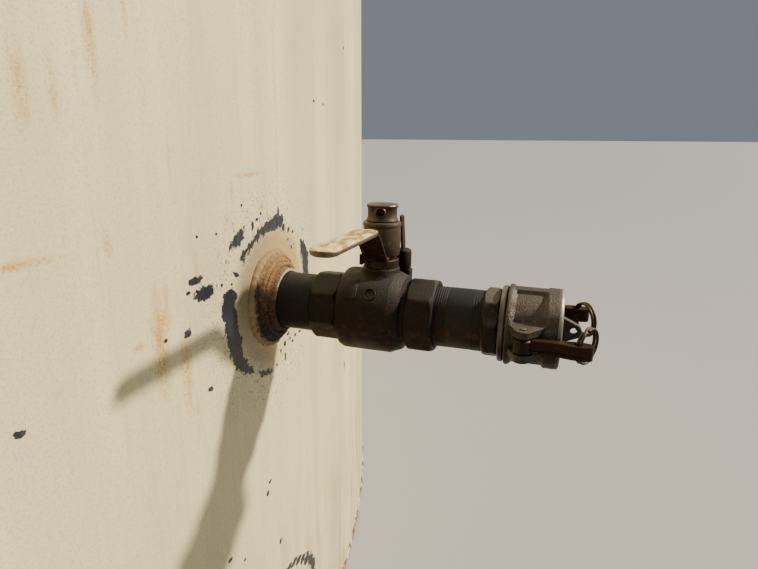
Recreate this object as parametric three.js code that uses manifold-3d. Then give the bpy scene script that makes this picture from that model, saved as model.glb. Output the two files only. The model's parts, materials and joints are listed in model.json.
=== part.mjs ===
// A vertical steel storage tank with a two inch outlet: a ball valve, a dust cap held by cam arms,
// and a small drain valve below. Millimetres, +Z up. The origin is the centre of the tank's
// underside and the outlet points along +X.

import * as THREE from 'three';
import { mergeVertices } from 'three/addons/utils/BufferGeometryUtils.js';
import Module from 'manifold-3d';

const wasm = await Module();
wasm.setup();

// Driving dimensions

const GAP = 0.3;

const TANK = {
  radius: 1829,
  plate: 5,
  floorPlate: 6,
  courseHeight: 1524,
  courses: ['lower', 'middle', 'upper'],
  seamAngles: [-50, -35, -65],
  facets: 72,
};

const ROOF = { overhang: 12, rim: 40, slope: 1 / 12, plate: 5 };
const TOP_ANGLE = { depth: 50, thickness: 6 };
const GIRTH_WELD = { width: 12, height: 2.5 };
const HATCH = {
  angle: 135,
  distance: 1230,
  radius: 254,
  wall: 5,
  height: 150,
  inside: 40,
  lidLip: 14,
  lidDepth: 30,
  lidPlate: 5,
  lidCrown: 10,
  sides: 36,
};
const VENT = {
  radius: 57,
  wall: 6,
  height: 160,
  inside: 30,
  capRadius: 105,
  capGap: 45,
  capDepth: 60,
  capPlate: 4,
  legs: 3,
  legThickness: 6,
  sides: 24,
};
const LUG = { angle: -54.5, centre: 1390, radius: 129, thickness: 13, hole: 30, holeReach: 70 };

const OUTLET = { height: 564, droop: 0.9, pipe: 30.15, bore: 26.2, sides: 24 };
const SPUD = { sleeve: 33.6, cone: 46, conePlate: 5, length: 19, inside: 18, weld: 53 };
const VALVE = {
  start: 55,
  innerEnd: 30,
  body: 69,
  outerEnd: 28,
  innerFlats: 67.5,
  innerTurn: 13,
  outerFlats: 70.5,
  outerTurn: 7.5,
  bodyRadius: 42,
  shoulderFrom: 139,
  shoulderTo: 147,
  shoulderRadius: 37,
  neckRadius: 34,
  seatDepth: 8,
  cavity: 31,
  seat: 19,
  ball: 30,
  ballFlat: 26,
  stem: 8,
  stemClear: 0.6,
  boss: 18.8,
  stemAt: 122,
};
const STEM = {
  bossTop: 46,
  bonnetRadius: 17.5,
  bonnetTop: 54.5,
  sleeveTop: 91.5,
  sleeveRadius: 20,
  sleeveFoot: 17.8,
  capRadius: 14.6,
  capRim: 15.8,
  capTop: 108.5,
  capHole: 3.2,
};
const LEVER = {
  plate: 3.2,
  width: 23.7,
  back: 20,
  rootReach: 20,
  bendReach: 50,
  bendHeight: 89,
  tipReach: 154.5,
  tipHeight: 91,
};
const STOP = { out: 16.2, thickness: 3, from: 12.2, to: 22, low: 50.5, high: 61 };
const GRIP = { from: 48, past: 6, width: 23.7, thickness: 8 };
const LOCK = { x: 18, y: 20, radius: 7, low: 44.5, high: 62, strapHigh: 96, strap: 2.5, strapWidth: 11 };

const OUTER_NIPPLE = { from: 163, to: 240 };
const ADAPTER = {
  hubFrom: 228.5,
  hubFlats: 64,
  hubTurn: -4,
  ringFrom: 244,
  ringTo: 249.5,
  ringRadius: 37,
  male: 31.5,
  groove: 28,
  grooveTaper: 2,
  bore: 22,
};
const CAP = {
  from: 250,
  to: 300.5,
  wallFrom: 292.5,
  inner: 32.4,
  outer: 37.8,
  lip: 39,
  lipLength: 7,
  edge: 1.5,
  panelFrom: 9,
  panelTo: 36,
  panelHalf: 17,
  panelDepth: 2.2,
  panelTurn: 40,
};
const EYE = { reach: 11, base: 14, root: 2, tip: 7, hole: 3.5, thickness: 8 };
const CAM = {
  tilt: 5,
  pivotX: 267,
  pivotR: 45,
  armWidth: 13,
  armLow: 42,
  armHigh: 47.5,
  armTip: 327,
  hub: 8,
  nose: 14.5,
  noseHalf: 6,
  pin: 3,
  pinPast: 1,
  earFrom: 8.2,
  earTo: 15.2,
  earRoot: 30,
  earShoulder: 36,
  earBack: 14,
  earFront: 18,
  earTip: 8,
  slotBack: 8.5,
  slotFront: 18.5,
  ringAt: 314,
};
const RING = { radius: 16, wire: 1.6, hole: 3.7, boss: 6, fold: 60 };

const DRAIN = {
  height: 118,
  pipe: 16.7,
  bore: 13.3,
  spud: 27,
  valveFrom: 58,
  valveTo: 116,
  inside: 14,
  socketDepth: 15,
  flats: 44,
  bonnet: 12,
  bonnetTop: 32,
  stem: 4.6,
  stemFoot: 25,
  stemAt: 87,
  leverHeight: 44,
  leverReach: 95,
  leverHalf: 9,
  leverPlate: 4,
  plugFlats: 26,
  plugHead: 4,
  plugTo: 136,
};

const STEP_ANGLE = (2 * Math.PI) / TANK.facets;
const TOP = TANK.floorPlate + TANK.courses.length * TANK.courseHeight;
const rad = THREE.MathUtils.degToRad;

// Materials

const paint = (color, roughness = 0.6, metalness = 0.1) =>
  new THREE.MeshStandardMaterial({ color, roughness, metalness });
const CREAM = paint(0xd9cfb2);
const WELD = paint(0xb89a72, 0.8);
const RUST = paint(0x7d5a43, 0.9, 0.2);
const IRON = paint(0x3d342d, 0.7, 0.5);
const STEEL = paint(0x6e5a48, 0.7, 0.6);
const VINYL = paint(0xd8c9a5, 0.7, 0);
const ALUMINIUM = paint(0x7a7264, 0.5, 0.8);
const BRIGHT = paint(0xb3ada2, 0.35, 0.9);

// Solids

/** The geometry as one closed solid, its shared corners merged and its faces pointing out. */
function solid(geometry) {
  geometry.deleteAttribute('normal');
  geometry.deleteAttribute('uv');
  const merged = mergeVertices(geometry, 1e-4);
  const position = merged.attributes.position;
  const source = merged.index.array;
  const triangles = [];
  let volume = 0;
  const [a, b, c] = [new THREE.Vector3(), new THREE.Vector3(), new THREE.Vector3()];
  for (let i = 0; i < source.length; i += 3) {
    const [p, q, r] = source.slice(i, i + 3);
    if (p === q || q === r || r === p) continue;
    triangles.push(p, q, r);
    a.fromBufferAttribute(position, p);
    b.fromBufferAttribute(position, q);
    c.fromBufferAttribute(position, r);
    volume += a.dot(b.cross(c));
  }
  if (volume < 0) triangles.reverse();
  const mesh = new wasm.Mesh({
    numProp: 3,
    vertProperties: new Float32Array(position.array),
    triVerts: new Uint32Array(triangles),
  });
  return new wasm.Manifold(mesh);
}

function placed(shape, matrix) {
  return shape.transform(matrix.elements);
}

function moved(shape, x, y, z) {
  return placed(shape, new THREE.Matrix4().makeTranslation(x, y, z));
}

/** A profile of [radius, station] points turned about +X. */
function turnedX(points, sides = OUTLET.sides) {
  const profile = points.map(([r, x]) => new THREE.Vector2(r, x));
  return solid(new THREE.LatheGeometry(profile, sides).rotateZ(-Math.PI / 2));
}

/** A profile of [radius, height] points turned about +Z. */
function turnedZ(points, sides) {
  const profile = points.map(([r, z]) => new THREE.Vector2(r, z));
  return solid(new THREE.LatheGeometry(profile, sides).rotateX(Math.PI / 2));
}

/** A closed ring profile: inner and outer radius between two stations. */
function ringProfile(inner, outer, from, to) {
  return [[inner, from], [outer, from], [outer, to], [inner, to], [inner, from]];
}

function tubeX(inner, outer, from, to, sides) {
  return turnedX(ringProfile(inner, outer, from, to), sides);
}

function rodX(radius, from, to, sides) {
  return turnedX([[0, from], [radius, from], [radius, to], [0, to]], sides);
}

function rodZ(radius, from, to, sides = 20) {
  return turnedZ([[0, from], [radius, from], [radius, to], [0, to]], sides);
}

function rodY(radius, from, to, sides = 20) {
  return placed(rodZ(radius, from, to, sides), new THREE.Matrix4().makeRotationX(-Math.PI / 2));
}

/** A regular prism along +X; a turn of 0 degrees puts a corner on top and more leans it to -Y. */
function prismX(sides, flats, from, to, turn = 180 / sides) {
  const radius = flats / 2 / Math.cos(Math.PI / sides);
  const prism = new THREE.CylinderGeometry(radius, radius, to - from, sides, 1, false, rad(turn));
  return solid(prism.rotateZ(-Math.PI / 2).translate((from + to) / 2, 0, 0));
}

/** An octagon whose corners are turned down at both ends, as on forged fittings. */
function octagonX(flats, from, to, turn) {
  const bevel = 3;
  const face = flats / 2 + 0.4;
  const envelope = turnedX([
    [0, from],
    [face, from],
    [face + bevel, from + bevel],
    [face + bevel, to - bevel],
    [face, to],
    [0, to],
  ]);
  return prismX(8, flats, from, to, turn).intersect(envelope);
}

function block(x0, x1, y0, y1, z0, z1) {
  const box = new THREE.BoxGeometry(x1 - x0, y1 - y0, z1 - z0);
  return solid(box.translate((x0 + x1) / 2, (y0 + y1) / 2, (z0 + z1) / 2));
}

/** An outline of [y, z] points extruded along X, centred on x = 0. */
function sheetX(points, width) {
  const outline = new THREE.Shape(points.map(([y, z]) => new THREE.Vector2(y, z)));
  const sheet = new THREE.ExtrudeGeometry(outline, { depth: width, bevelEnabled: false });
  const turn = new THREE.Matrix4().makeBasis(
    new THREE.Vector3(0, 1, 0), new THREE.Vector3(0, 0, 1), new THREE.Vector3(1, 0, 0));
  return solid(sheet.translate(0, 0, -width / 2).applyMatrix4(turn));
}

function geometryOf(shape) {
  const mesh = shape.getMesh();
  const geometry = new THREE.BufferGeometry();
  const count = mesh.vertProperties.length / mesh.numProp;
  const position = new Float32Array(count * 3);
  for (let i = 0; i < count; i++) {
    for (let k = 0; k < 3; k++) position[3 * i + k] = mesh.vertProperties[mesh.numProp * i + k];
  }
  geometry.setAttribute('position', new THREE.BufferAttribute(position, 3));
  geometry.setIndex(new THREE.BufferAttribute(new Uint32Array(mesh.triVerts), 1));
  geometry.computeVertexNormals();
  return geometry;
}

function piece(group, name, shape, material) {
  const mesh = new THREE.Mesh(geometryOf(shape), material);
  mesh.name = name;
  group.add(mesh);
  return mesh;
}

// Tank

/** A round plate of the shell between two seams, counted in facets of the circle. */
function shellPlate(fromAngle, toAngle, low, high) {
  const first = Math.round(rad(fromAngle) / STEP_ANGLE);
  const last = Math.round(rad(toAngle) / STEP_ANGLE);
  const outline = [];
  const point = (radius, k) =>
    outline.push(new THREE.Vector2(radius * Math.cos(k * STEP_ANGLE), radius * Math.sin(k * STEP_ANGLE)));
  for (let k = first; k <= last; k++) point(TANK.radius, k);
  for (let k = last; k >= first; k--) point(TANK.radius - TANK.plate, k);
  const depth = high - low;
  const plate = new THREE.ExtrudeGeometry(new THREE.Shape(outline), { depth, bevelEnabled: false });
  return solid(plate.translate(0, 0, low));
}

/** Trims the two ends of a shell plate so that neighbours keep a weld gap. */
function seamGap(angle, low, high) {
  const inner = TANK.radius - 2 * TANK.plate;
  const cut = block(inner, inner + 3 * TANK.plate, -GAP / 2, GAP / 2, low - 1, high + 1);
  return placed(cut, new THREE.Matrix4().makeRotationZ(rad(angle)));
}

function tankCylinder(radius, low, high) {
  return placed(rodZ(radius, low, high, TANK.facets), new THREE.Matrix4().makeRotationZ(Math.PI / 2));
}

const outletFrame = new THREE.Matrix4()
  .makeTranslation(TANK.radius, 0, OUTLET.height)
  .multiply(new THREE.Matrix4().makeRotationY(rad(OUTLET.droop)));
const drainFrame = new THREE.Matrix4().makeTranslation(TANK.radius, 0, DRAIN.height);

function addShell(tank) {
  piece(tank, 'bottom_plate', tankCylinder(TANK.radius, 0, TANK.floorPlate), RUST);
  TANK.courses.forEach((course, i) => {
    const low = TANK.floorPlate + i * TANK.courseHeight;
    const high = low + TANK.courseHeight;
    const seam = TANK.seamAngles[i];
    const cuts = seamGap(seam, low, high).add(seamGap(seam + 180, low, high));
    let front = shellPlate(seam, seam + 180, low, high).subtract(cuts);
    const back = shellPlate(seam + 180, seam + 360, low, high).subtract(cuts);
    if (i === 0) {
      const outletHole = rodX(SPUD.sleeve + GAP, -60, 60);
      const drainHole = rodX(DRAIN.pipe + GAP, -60, 60);
      front = front.subtract(placed(outletHole, outletFrame)).subtract(placed(drainHole, drainFrame));
    }
    piece(tank, `shell_${course}_front`, front, CREAM);
    piece(tank, `shell_${course}_back`, back, CREAM);
    if (i > 0) {
      const inner = TANK.radius + GAP;
      const half = GIRTH_WELD.width / 2;
      const crown = [inner + GIRTH_WELD.height, low];
      const bead = [[inner, low - half], crown, [inner, low + half], [inner, low - half]];
      piece(tank, `girth_weld_${course}`, turnedZ(bead, TANK.facets), WELD);
    }
  });
}

function addRoof(tank) {
  const angleFrom = TANK.radius + GAP;
  const angleBar = ringProfile(angleFrom, angleFrom + TOP_ANGLE.thickness, TOP - TOP_ANGLE.depth, TOP - GAP);
  piece(tank, 'top_angle', turnedZ(angleBar, TANK.facets), CREAM);

  const edge = TANK.radius + ROOF.overhang;
  const knuckle = TANK.radius - ROOF.rim;
  const rise = knuckle * ROOF.slope;
  const plate = turnedZ([
    [0, TOP + rise],
    [knuckle, TOP],
    [edge, TOP],
    [edge, TOP + ROOF.plate],
    [knuckle, TOP + ROOF.plate],
    [0, TOP + rise + ROOF.plate],
  ], TANK.facets);
  const hatchX = HATCH.distance * Math.cos(rad(HATCH.angle));
  const hatchY = HATCH.distance * Math.sin(rad(HATCH.angle));
  const hatchBase = TOP + (knuckle - HATCH.distance) * ROOF.slope;
  const hatchRod = rodZ(HATCH.radius + GAP, -HATCH.height, HATCH.height, HATCH.sides);
  const hatchHole = moved(hatchRod, hatchX, hatchY, hatchBase);
  const ventHole = rodZ(VENT.radius + GAP, TOP, TOP + 2 * rise, VENT.sides);
  piece(tank, 'roof', plate.subtract(hatchHole).subtract(ventHole), CREAM);

  const neckTop = hatchBase + HATCH.height;
  const neckProfile = ringProfile(HATCH.radius - HATCH.wall, HATCH.radius, hatchBase - HATCH.inside, neckTop);
  const neck = turnedZ(neckProfile, HATCH.sides);
  piece(tank, 'hatch_neck', moved(neck, hatchX, hatchY, 0), CREAM);
  const lidRadius = HATCH.radius + HATCH.lidLip;
  const lid = turnedZ([
    [0, neckTop + GAP],
    [lidRadius - HATCH.lidPlate, neckTop + GAP],
    [lidRadius - HATCH.lidPlate, neckTop - HATCH.lidDepth],
    [lidRadius, neckTop - HATCH.lidDepth],
    [lidRadius, neckTop + HATCH.lidPlate],
    [0, neckTop + HATCH.lidPlate + HATCH.lidCrown],
  ], HATCH.sides);
  piece(tank, 'hatch_lid', moved(lid, hatchX, hatchY, 0), CREAM);

  const ventTop = TOP + rise + VENT.height;
  const pipe = ringProfile(VENT.radius - VENT.wall, VENT.radius, TOP + rise - VENT.inside, ventTop);
  piece(tank, 'vent_pipe', turnedZ(pipe, VENT.sides), RUST);
  const hoodTop = ventTop + VENT.capGap;
  const hood = turnedZ([
    [0, hoodTop],
    [VENT.capRadius - VENT.capPlate, hoodTop - VENT.capDepth / 2],
    [VENT.capRadius - VENT.capPlate, hoodTop - VENT.capDepth],
    [VENT.capRadius, hoodTop - VENT.capDepth],
    [VENT.capRadius, hoodTop - VENT.capDepth / 2],
    [0, hoodTop + VENT.capPlate],
  ], VENT.sides);
  const inHood = rodZ(VENT.capRadius - VENT.capPlate / 4, ventTop, hoodTop, VENT.sides);
  const legTop = hoodTop - VENT.capDepth / 2 + 2 * VENT.capPlate;
  const legHalf = VENT.legThickness / 2;
  const legPlate = block(VENT.radius - VENT.wall, VENT.capRadius, -legHalf, legHalf, ventTop + GAP, legTop);
  const leg = legPlate.intersect(inHood);
  let vent = hood;
  for (let k = 0; k < VENT.legs; k++) {
    vent = vent.add(placed(leg, new THREE.Matrix4().makeRotationZ((2 * Math.PI * k) / VENT.legs)));
  }
  piece(tank, 'vent_cap', vent, RUST);
}

/** The distance from the tank's axis to its faceted outside at an angle in degrees. */
function shellRadiusAt(angle) {
  const middle = (Math.floor(rad(angle) / STEP_ANGLE) + 0.5) * STEP_ANGLE;
  return (TANK.radius * Math.cos(STEP_ANGLE / 2)) / Math.cos(rad(angle) - middle);
}

/** A half-round plate welded edge-on to the shell, with a shackle hole. */
function addLug(tank, name, angle) {
  const outline = new THREE.Shape();
  outline.moveTo(0, -LUG.radius);
  outline.absarc(0, 0, LUG.radius, -Math.PI / 2, Math.PI / 2, false);
  outline.lineTo(0, -LUG.radius);
  const hole = new THREE.Path();
  hole.absarc(LUG.holeReach, 0, LUG.hole, 0, 2 * Math.PI, true);
  outline.holes.push(hole);
  const plate = new THREE.ExtrudeGeometry(outline, {
    depth: LUG.thickness,
    bevelEnabled: false,
    curveSegments: 20,
  });
  plate.translate(shellRadiusAt(angle) + GAP, 0, -LUG.thickness / 2);
  plate.rotateX(Math.PI / 2).translate(0, 0, LUG.centre);
  piece(tank, name, solid(plate.rotateZ(rad(angle))), RUST);
}

// Outlet

/** The tank's outside as a solid seen from a fitting's own frame, to trim what is welded to it. */
function shellSeenFrom(frame) {
  return placed(tankCylinder(TANK.radius + GAP, -500, 2000), frame.clone().invert());
}

function addSpud(outlet) {
  const shell = shellSeenFrom(outletFrame);
  const bore = OUTLET.pipe + GAP;
  const sleeve = tubeX(bore, SPUD.sleeve, -SPUD.inside, SPUD.length);
  const cone = turnedX([
    [SPUD.sleeve - 1, -8],
    [SPUD.cone, -8],
    [SPUD.cone, SPUD.conePlate],
    [SPUD.sleeve + 2, SPUD.length - 3],
    [SPUD.sleeve - 1, SPUD.length],
    [SPUD.sleeve - 1, -8],
  ]).subtract(shell);
  piece(outlet, 'outlet_spud', cone.add(sleeve), RUST);
  const bead = turnedX([
    [SPUD.cone + GAP, -8],
    [SPUD.weld, -8],
    [SPUD.weld, 1],
    [SPUD.cone + GAP, SPUD.conePlate],
    [SPUD.cone + GAP, -8],
  ]).subtract(shell);
  piece(outlet, 'outlet_weld', bead, WELD);
  piece(outlet, 'inner_nipple', tubeX(OUTLET.bore, OUTLET.pipe, 1, VALVE.start + 20), IRON);
}

function addValve(outlet) {
  const socket = OUTLET.pipe + GAP;
  const bodyFrom = VALVE.start + VALVE.innerEnd;
  const bodyTo = bodyFrom + VALVE.body;
  const end = bodyTo + VALVE.outerEnd;

  const innerSocket = rodX(socket, VALVE.start - 1, bodyFrom - VALVE.seatDepth);
  const innerBore = innerSocket.add(rodX(VALVE.seat, VALVE.start, bodyFrom + 1));
  const innerHex = octagonX(VALVE.innerFlats, VALVE.start, bodyFrom - GAP, VALVE.innerTurn);
  piece(outlet, 'valve_inner_end', innerHex.subtract(innerBore), IRON);

  const edge = 5;
  const barrel = turnedX([
    [0, bodyFrom],
    [VALVE.bodyRadius - edge, bodyFrom],
    [VALVE.bodyRadius - 1, bodyFrom + edge / 2],
    [VALVE.bodyRadius, bodyFrom + edge],
    [VALVE.bodyRadius, VALVE.shoulderFrom],
    [VALVE.shoulderRadius, VALVE.shoulderTo],
    [VALVE.neckRadius, VALVE.shoulderTo + 1],
    [VALVE.neckRadius, bodyTo],
    [0, bodyTo],
  ]);
  const boss = moved(rodZ(VALVE.boss, 0, STEM.bossTop), VALVE.stemAt, 0, 0);
  const stemHole = moved(rodZ(VALVE.stem + VALVE.stemClear, 0, STEM.bossTop + 1), VALVE.stemAt, 0, 0);
  const cavity = rodX(VALVE.cavity, bodyFrom - 1, bodyTo + 1);
  piece(outlet, 'valve_body', barrel.add(boss).subtract(cavity).subtract(stemHole), IRON);

  const outerHex = octagonX(VALVE.outerFlats, bodyTo + GAP, end, VALVE.outerTurn);
  const outerBore = rodX(VALVE.seat, bodyTo, end).add(rodX(socket, bodyTo + VALVE.seatDepth, end + 1));
  piece(outlet, 'valve_outer_end', outerHex.subtract(outerBore), IRON);

  const bonnetInner = VALVE.stem + VALVE.stemClear;
  const bonnet = turnedZ(ringProfile(bonnetInner, STEM.bonnetRadius, STEM.bossTop + GAP, STEM.bonnetTop), 24);
  piece(outlet, 'valve_bonnet', moved(bonnet, VALVE.stemAt, 0, 0), STEEL);
}

/** Everything that turns with the stem, in a frame whose +Z is the stem's axis. */
function addLever(outlet) {
  const stem = new THREE.Group();
  stem.position.set(VALVE.stemAt, 0, 0);
  outlet.add(stem);

  const sphere = solid(new THREE.SphereGeometry(VALVE.ball, 20, 12).rotateX(Math.PI / 2));
  const port = rodY(VALVE.seat, -VALVE.ball - 1, VALVE.ball + 1);
  const above = rodZ(VALVE.ball + 1, VALVE.ballFlat, VALVE.ball + 1);
  piece(stem, 'valve_ball', sphere.subtract(port).subtract(above), BRIGHT);

  const hubLow = STEM.bonnetTop + 0.6;
  const hubHigh = hubLow + LEVER.plate;
  const capLow = STEM.sleeveTop + GAP;
  piece(stem, 'valve_stem', rodZ(VALVE.stem, VALVE.ballFlat + GAP, capLow), STEEL);

  const sleeve = turnedZ([
    [VALVE.stem + GAP, hubHigh + GAP],
    [STEM.sleeveFoot, hubHigh + GAP],
    [STEM.sleeveRadius, STEM.sleeveTop - 2],
    [STEM.sleeveRadius - 1, STEM.sleeveTop],
    [VALVE.stem + GAP, STEM.sleeveTop],
    [VALVE.stem + GAP, hubHigh + GAP],
  ], 24);
  piece(stem, 'stem_sleeve', sleeve, STEEL);

  const rimLength = 2;
  const spool = turnedZ([
    [0, capLow + GAP],
    [STEM.capRim, capLow + GAP],
    [STEM.capRadius, capLow + 2 * rimLength],
    [STEM.capRadius, STEM.capTop - 2 * rimLength],
    [STEM.capRim, STEM.capTop - rimLength],
    [STEM.capRim, STEM.capTop],
    [0, STEM.capTop],
  ], 24);
  const keyHole = moved(rodY(STEM.capHole, -STEM.capRim - 2, -8, 16), 0, 0, (capLow + STEM.capTop) / 2);
  piece(stem, 'stem_cap', spool.subtract(keyHole), STEEL);

  const strapEnd = LEVER.bendReach + LEVER.plate;
  const side = [
    [LEVER.back, hubLow],
    [-LEVER.rootReach - LEVER.plate, hubLow],
    [-LEVER.bendReach, LEVER.bendHeight - LEVER.plate],
    [-strapEnd, LEVER.bendHeight - LEVER.plate],
    [-strapEnd, LEVER.bendHeight],
    [-LEVER.bendReach + LEVER.plate, LEVER.bendHeight],
    [-LEVER.rootReach, hubHigh],
    [LEVER.back, hubHigh],
  ];
  const lockPost = moved(rodZ(LOCK.radius, LOCK.low, LOCK.high), LOCK.x, LOCK.y, 0);
  const lockSeat = moved(rodZ(LOCK.radius + GAP, LOCK.low, LOCK.high), LOCK.x, LOCK.y, 0);
  const tail = block(0, LOCK.x, LOCK.y - LOCK.radius - 1, LOCK.y + 4, hubLow, hubHigh);
  const stop = block(-STOP.out, STOP.thickness - STOP.out, -STOP.to, -STOP.from, STOP.low, STOP.high);
  const stopArm = block(-STOP.out, 0, -STOP.to, -STOP.from, hubLow, hubHigh);
  const stemHole = rodZ(VALVE.stem + GAP, hubLow - 1, hubHigh + 1);
  const plate = sheetX(side, LEVER.width).add(tail).add(stop).add(stopArm);
  piece(stem, 'lever_strap', plate.subtract(lockSeat).subtract(stemHole).subtract(gripBody(GAP)), RUST);
  piece(stem, 'lever_grip', gripBody(0), VINYL);

  piece(stem, 'lock_post', lockPost, IRON);
  const keeper = block(
    LOCK.x - 2, LOCK.x - 2 + LOCK.strap,
    LOCK.y - LOCK.strapWidth / 2, LOCK.y + LOCK.strapWidth / 2,
    LOCK.high + GAP, LOCK.strapHigh);
  piece(stem, 'lock_strap', keeper, STEEL);
}

/** The moulded grip over the lever's outer end, or with a margin the room that it fills. */
function gripBody(margin) {
  const length = LEVER.tipReach - GRIP.from + GRIP.past;
  const width = GRIP.width + 2 * margin;
  const round = width / 2;
  const outline = new THREE.Shape();
  outline.moveTo(-width / 2, 0);
  outline.lineTo(width / 2, 0);
  outline.lineTo(width / 2, length - round);
  outline.absarc(0, length - round, round, 0, Math.PI, false);
  outline.lineTo(-width / 2, 0);
  const depth = GRIP.thickness + 2 * margin;
  const bar = new THREE.ExtrudeGeometry(outline, { depth, bevelEnabled: false, curveSegments: 12 });
  const rise = (LEVER.tipHeight - LEVER.bendHeight) / (LEVER.tipReach - LEVER.bendReach);
  const slope = Math.atan(rise);
  const startHeight = LEVER.bendHeight + rise * (GRIP.from - LEVER.bendReach) - LEVER.plate / 2;
  const place = new THREE.Matrix4()
    .makeTranslation(0, -GRIP.from, startHeight)
    .multiply(new THREE.Matrix4().makeRotationZ(Math.PI))
    .multiply(new THREE.Matrix4().makeRotationX(slope));
  return placed(solid(bar.translate(0, 0, -depth / 2)), place);
}

function addCoupling(outlet) {
  const socket = OUTLET.pipe + GAP;
  const nipple = tubeX(OUTLET.bore, OUTLET.pipe, OUTER_NIPPLE.from, OUTER_NIPPLE.to);
  piece(outlet, 'outer_nipple', nipple, IRON);

  const hub = octagonX(ADAPTER.hubFlats, ADAPTER.hubFrom, ADAPTER.ringFrom, ADAPTER.hubTurn);
  const maleEnd = CAP.wallFrom - GAP;
  const grooveFrom = CAM.pivotX - CAM.noseHalf - 2;
  const grooveTo = CAM.pivotX + CAM.noseHalf + 3;
  const male = turnedX([
    [0, ADAPTER.ringFrom - 1],
    [ADAPTER.ringRadius, ADAPTER.ringFrom - 1],
    [ADAPTER.ringRadius, ADAPTER.ringTo],
    [ADAPTER.male, ADAPTER.ringTo],
    [ADAPTER.male, grooveFrom - ADAPTER.grooveTaper],
    [ADAPTER.groove, grooveFrom],
    [ADAPTER.groove, grooveTo],
    [ADAPTER.male, grooveTo + ADAPTER.grooveTaper],
    [ADAPTER.male, maleEnd],
    [0, maleEnd],
  ]);
  const pipeRoom = rodX(socket, ADAPTER.hubFrom - 1, OUTER_NIPPLE.to + 1);
  const bore = rodX(ADAPTER.bore, ADAPTER.hubFrom, maleEnd + 1).add(pipeRoom);
  piece(outlet, 'cam_adapter', hub.add(male).subtract(bore), BRIGHT);
}

/** Turns a shape made with its outward side along +Z to one side of the cap. */
function camFrame(side) {
  return new THREE.Matrix4().makeRotationX(rad(90 + CAM.tilt + (side === 'near' ? 0 : 180)));
}

/** The pair of pointed ears that carry a cam arm, as one block that the arm's slot then parts. */
function earBlock() {
  const outline = new THREE.Shape();
  outline.moveTo(CAM.pivotX - CAM.earBack, CAM.earRoot);
  outline.lineTo(CAM.pivotX - CAM.earBack, CAM.earShoulder);
  outline.absarc(CAM.pivotX, CAM.pivotR, CAM.earTip, rad(150), rad(30), true);
  outline.lineTo(CAM.pivotX + CAM.earFront, CAM.earShoulder);
  outline.lineTo(CAM.pivotX + CAM.earFront, CAM.earRoot);
  outline.lineTo(CAM.pivotX - CAM.earBack, CAM.earRoot);
  const depth = 2 * CAM.earTo;
  const ears = new THREE.ExtrudeGeometry(outline, { depth, bevelEnabled: false, curveSegments: 10 });
  return solid(ears.rotateX(Math.PI / 2).translate(0, CAM.earTo, 0));
}

function addCap(outlet) {
  let cap = turnedX([
    [0, CAP.from],
    [CAP.lip, CAP.from],
    [CAP.lip, CAP.from + CAP.lipLength],
    [CAP.outer, CAP.from + CAP.lipLength + CAP.edge],
    [CAP.outer, CAP.to - CAP.edge],
    [CAP.outer - CAP.edge, CAP.to],
    [0, CAP.to],
  ]);
  const ears = earBlock();
  const slot = block(
    CAM.pivotX - CAM.slotBack, CAM.pivotX + CAM.slotFront,
    -CAM.earFrom, CAM.earFrom,
    CAM.pivotR - CAM.earRoot, CAM.pivotR + 2 * CAM.earTip);
  const pinHole = moved(rodY(CAM.pin + GAP, -CAM.earTo - 1, CAM.earTo + 1), CAM.pivotX, 0, CAM.pivotR);
  cap = cap.add(placed(ears, camFrame('near'))).add(placed(ears, camFrame('far'))).add(capEye());
  cap = cap.subtract(rodX(CAP.inner, CAP.from - 1, CAP.wallFrom));
  for (const side of ['near', 'far']) cap = cap.subtract(placed(slot.add(pinHole), camFrame(side)));
  const panel = block(
    CAP.from + CAP.panelFrom, CAP.from + CAP.panelTo,
    -CAP.panelHalf, CAP.panelHalf,
    CAP.outer - CAP.panelDepth, CAP.outer + 5);
  for (const turn of [0, 180]) {
    cap = cap.subtract(placed(panel, new THREE.Matrix4().makeRotationX(rad(CAP.panelTurn + turn))));
  }
  piece(outlet, 'dust_cap', cap, ALUMINIUM);
}

/** The flat cast eye on the closed end of the cap, standing upright. */
function capEye() {
  const root = CAP.to - EYE.root;
  const centre = CAP.to + EYE.reach;
  const outline = new THREE.Shape();
  outline.moveTo(root, -EYE.base);
  outline.absarc(centre, 0, EYE.tip, rad(-60), rad(60), false);
  outline.lineTo(root, EYE.base);
  outline.lineTo(root, -EYE.base);
  const hole = new THREE.Path();
  hole.absarc(centre, 0, EYE.hole, 0, 2 * Math.PI, true);
  outline.holes.push(hole);
  const depth = EYE.thickness;
  const plate = new THREE.ExtrudeGeometry(outline, { depth, bevelEnabled: false, curveSegments: 12 });
  return solid(plate.translate(0, 0, -depth / 2).rotateX(Math.PI / 2));
}

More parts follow.
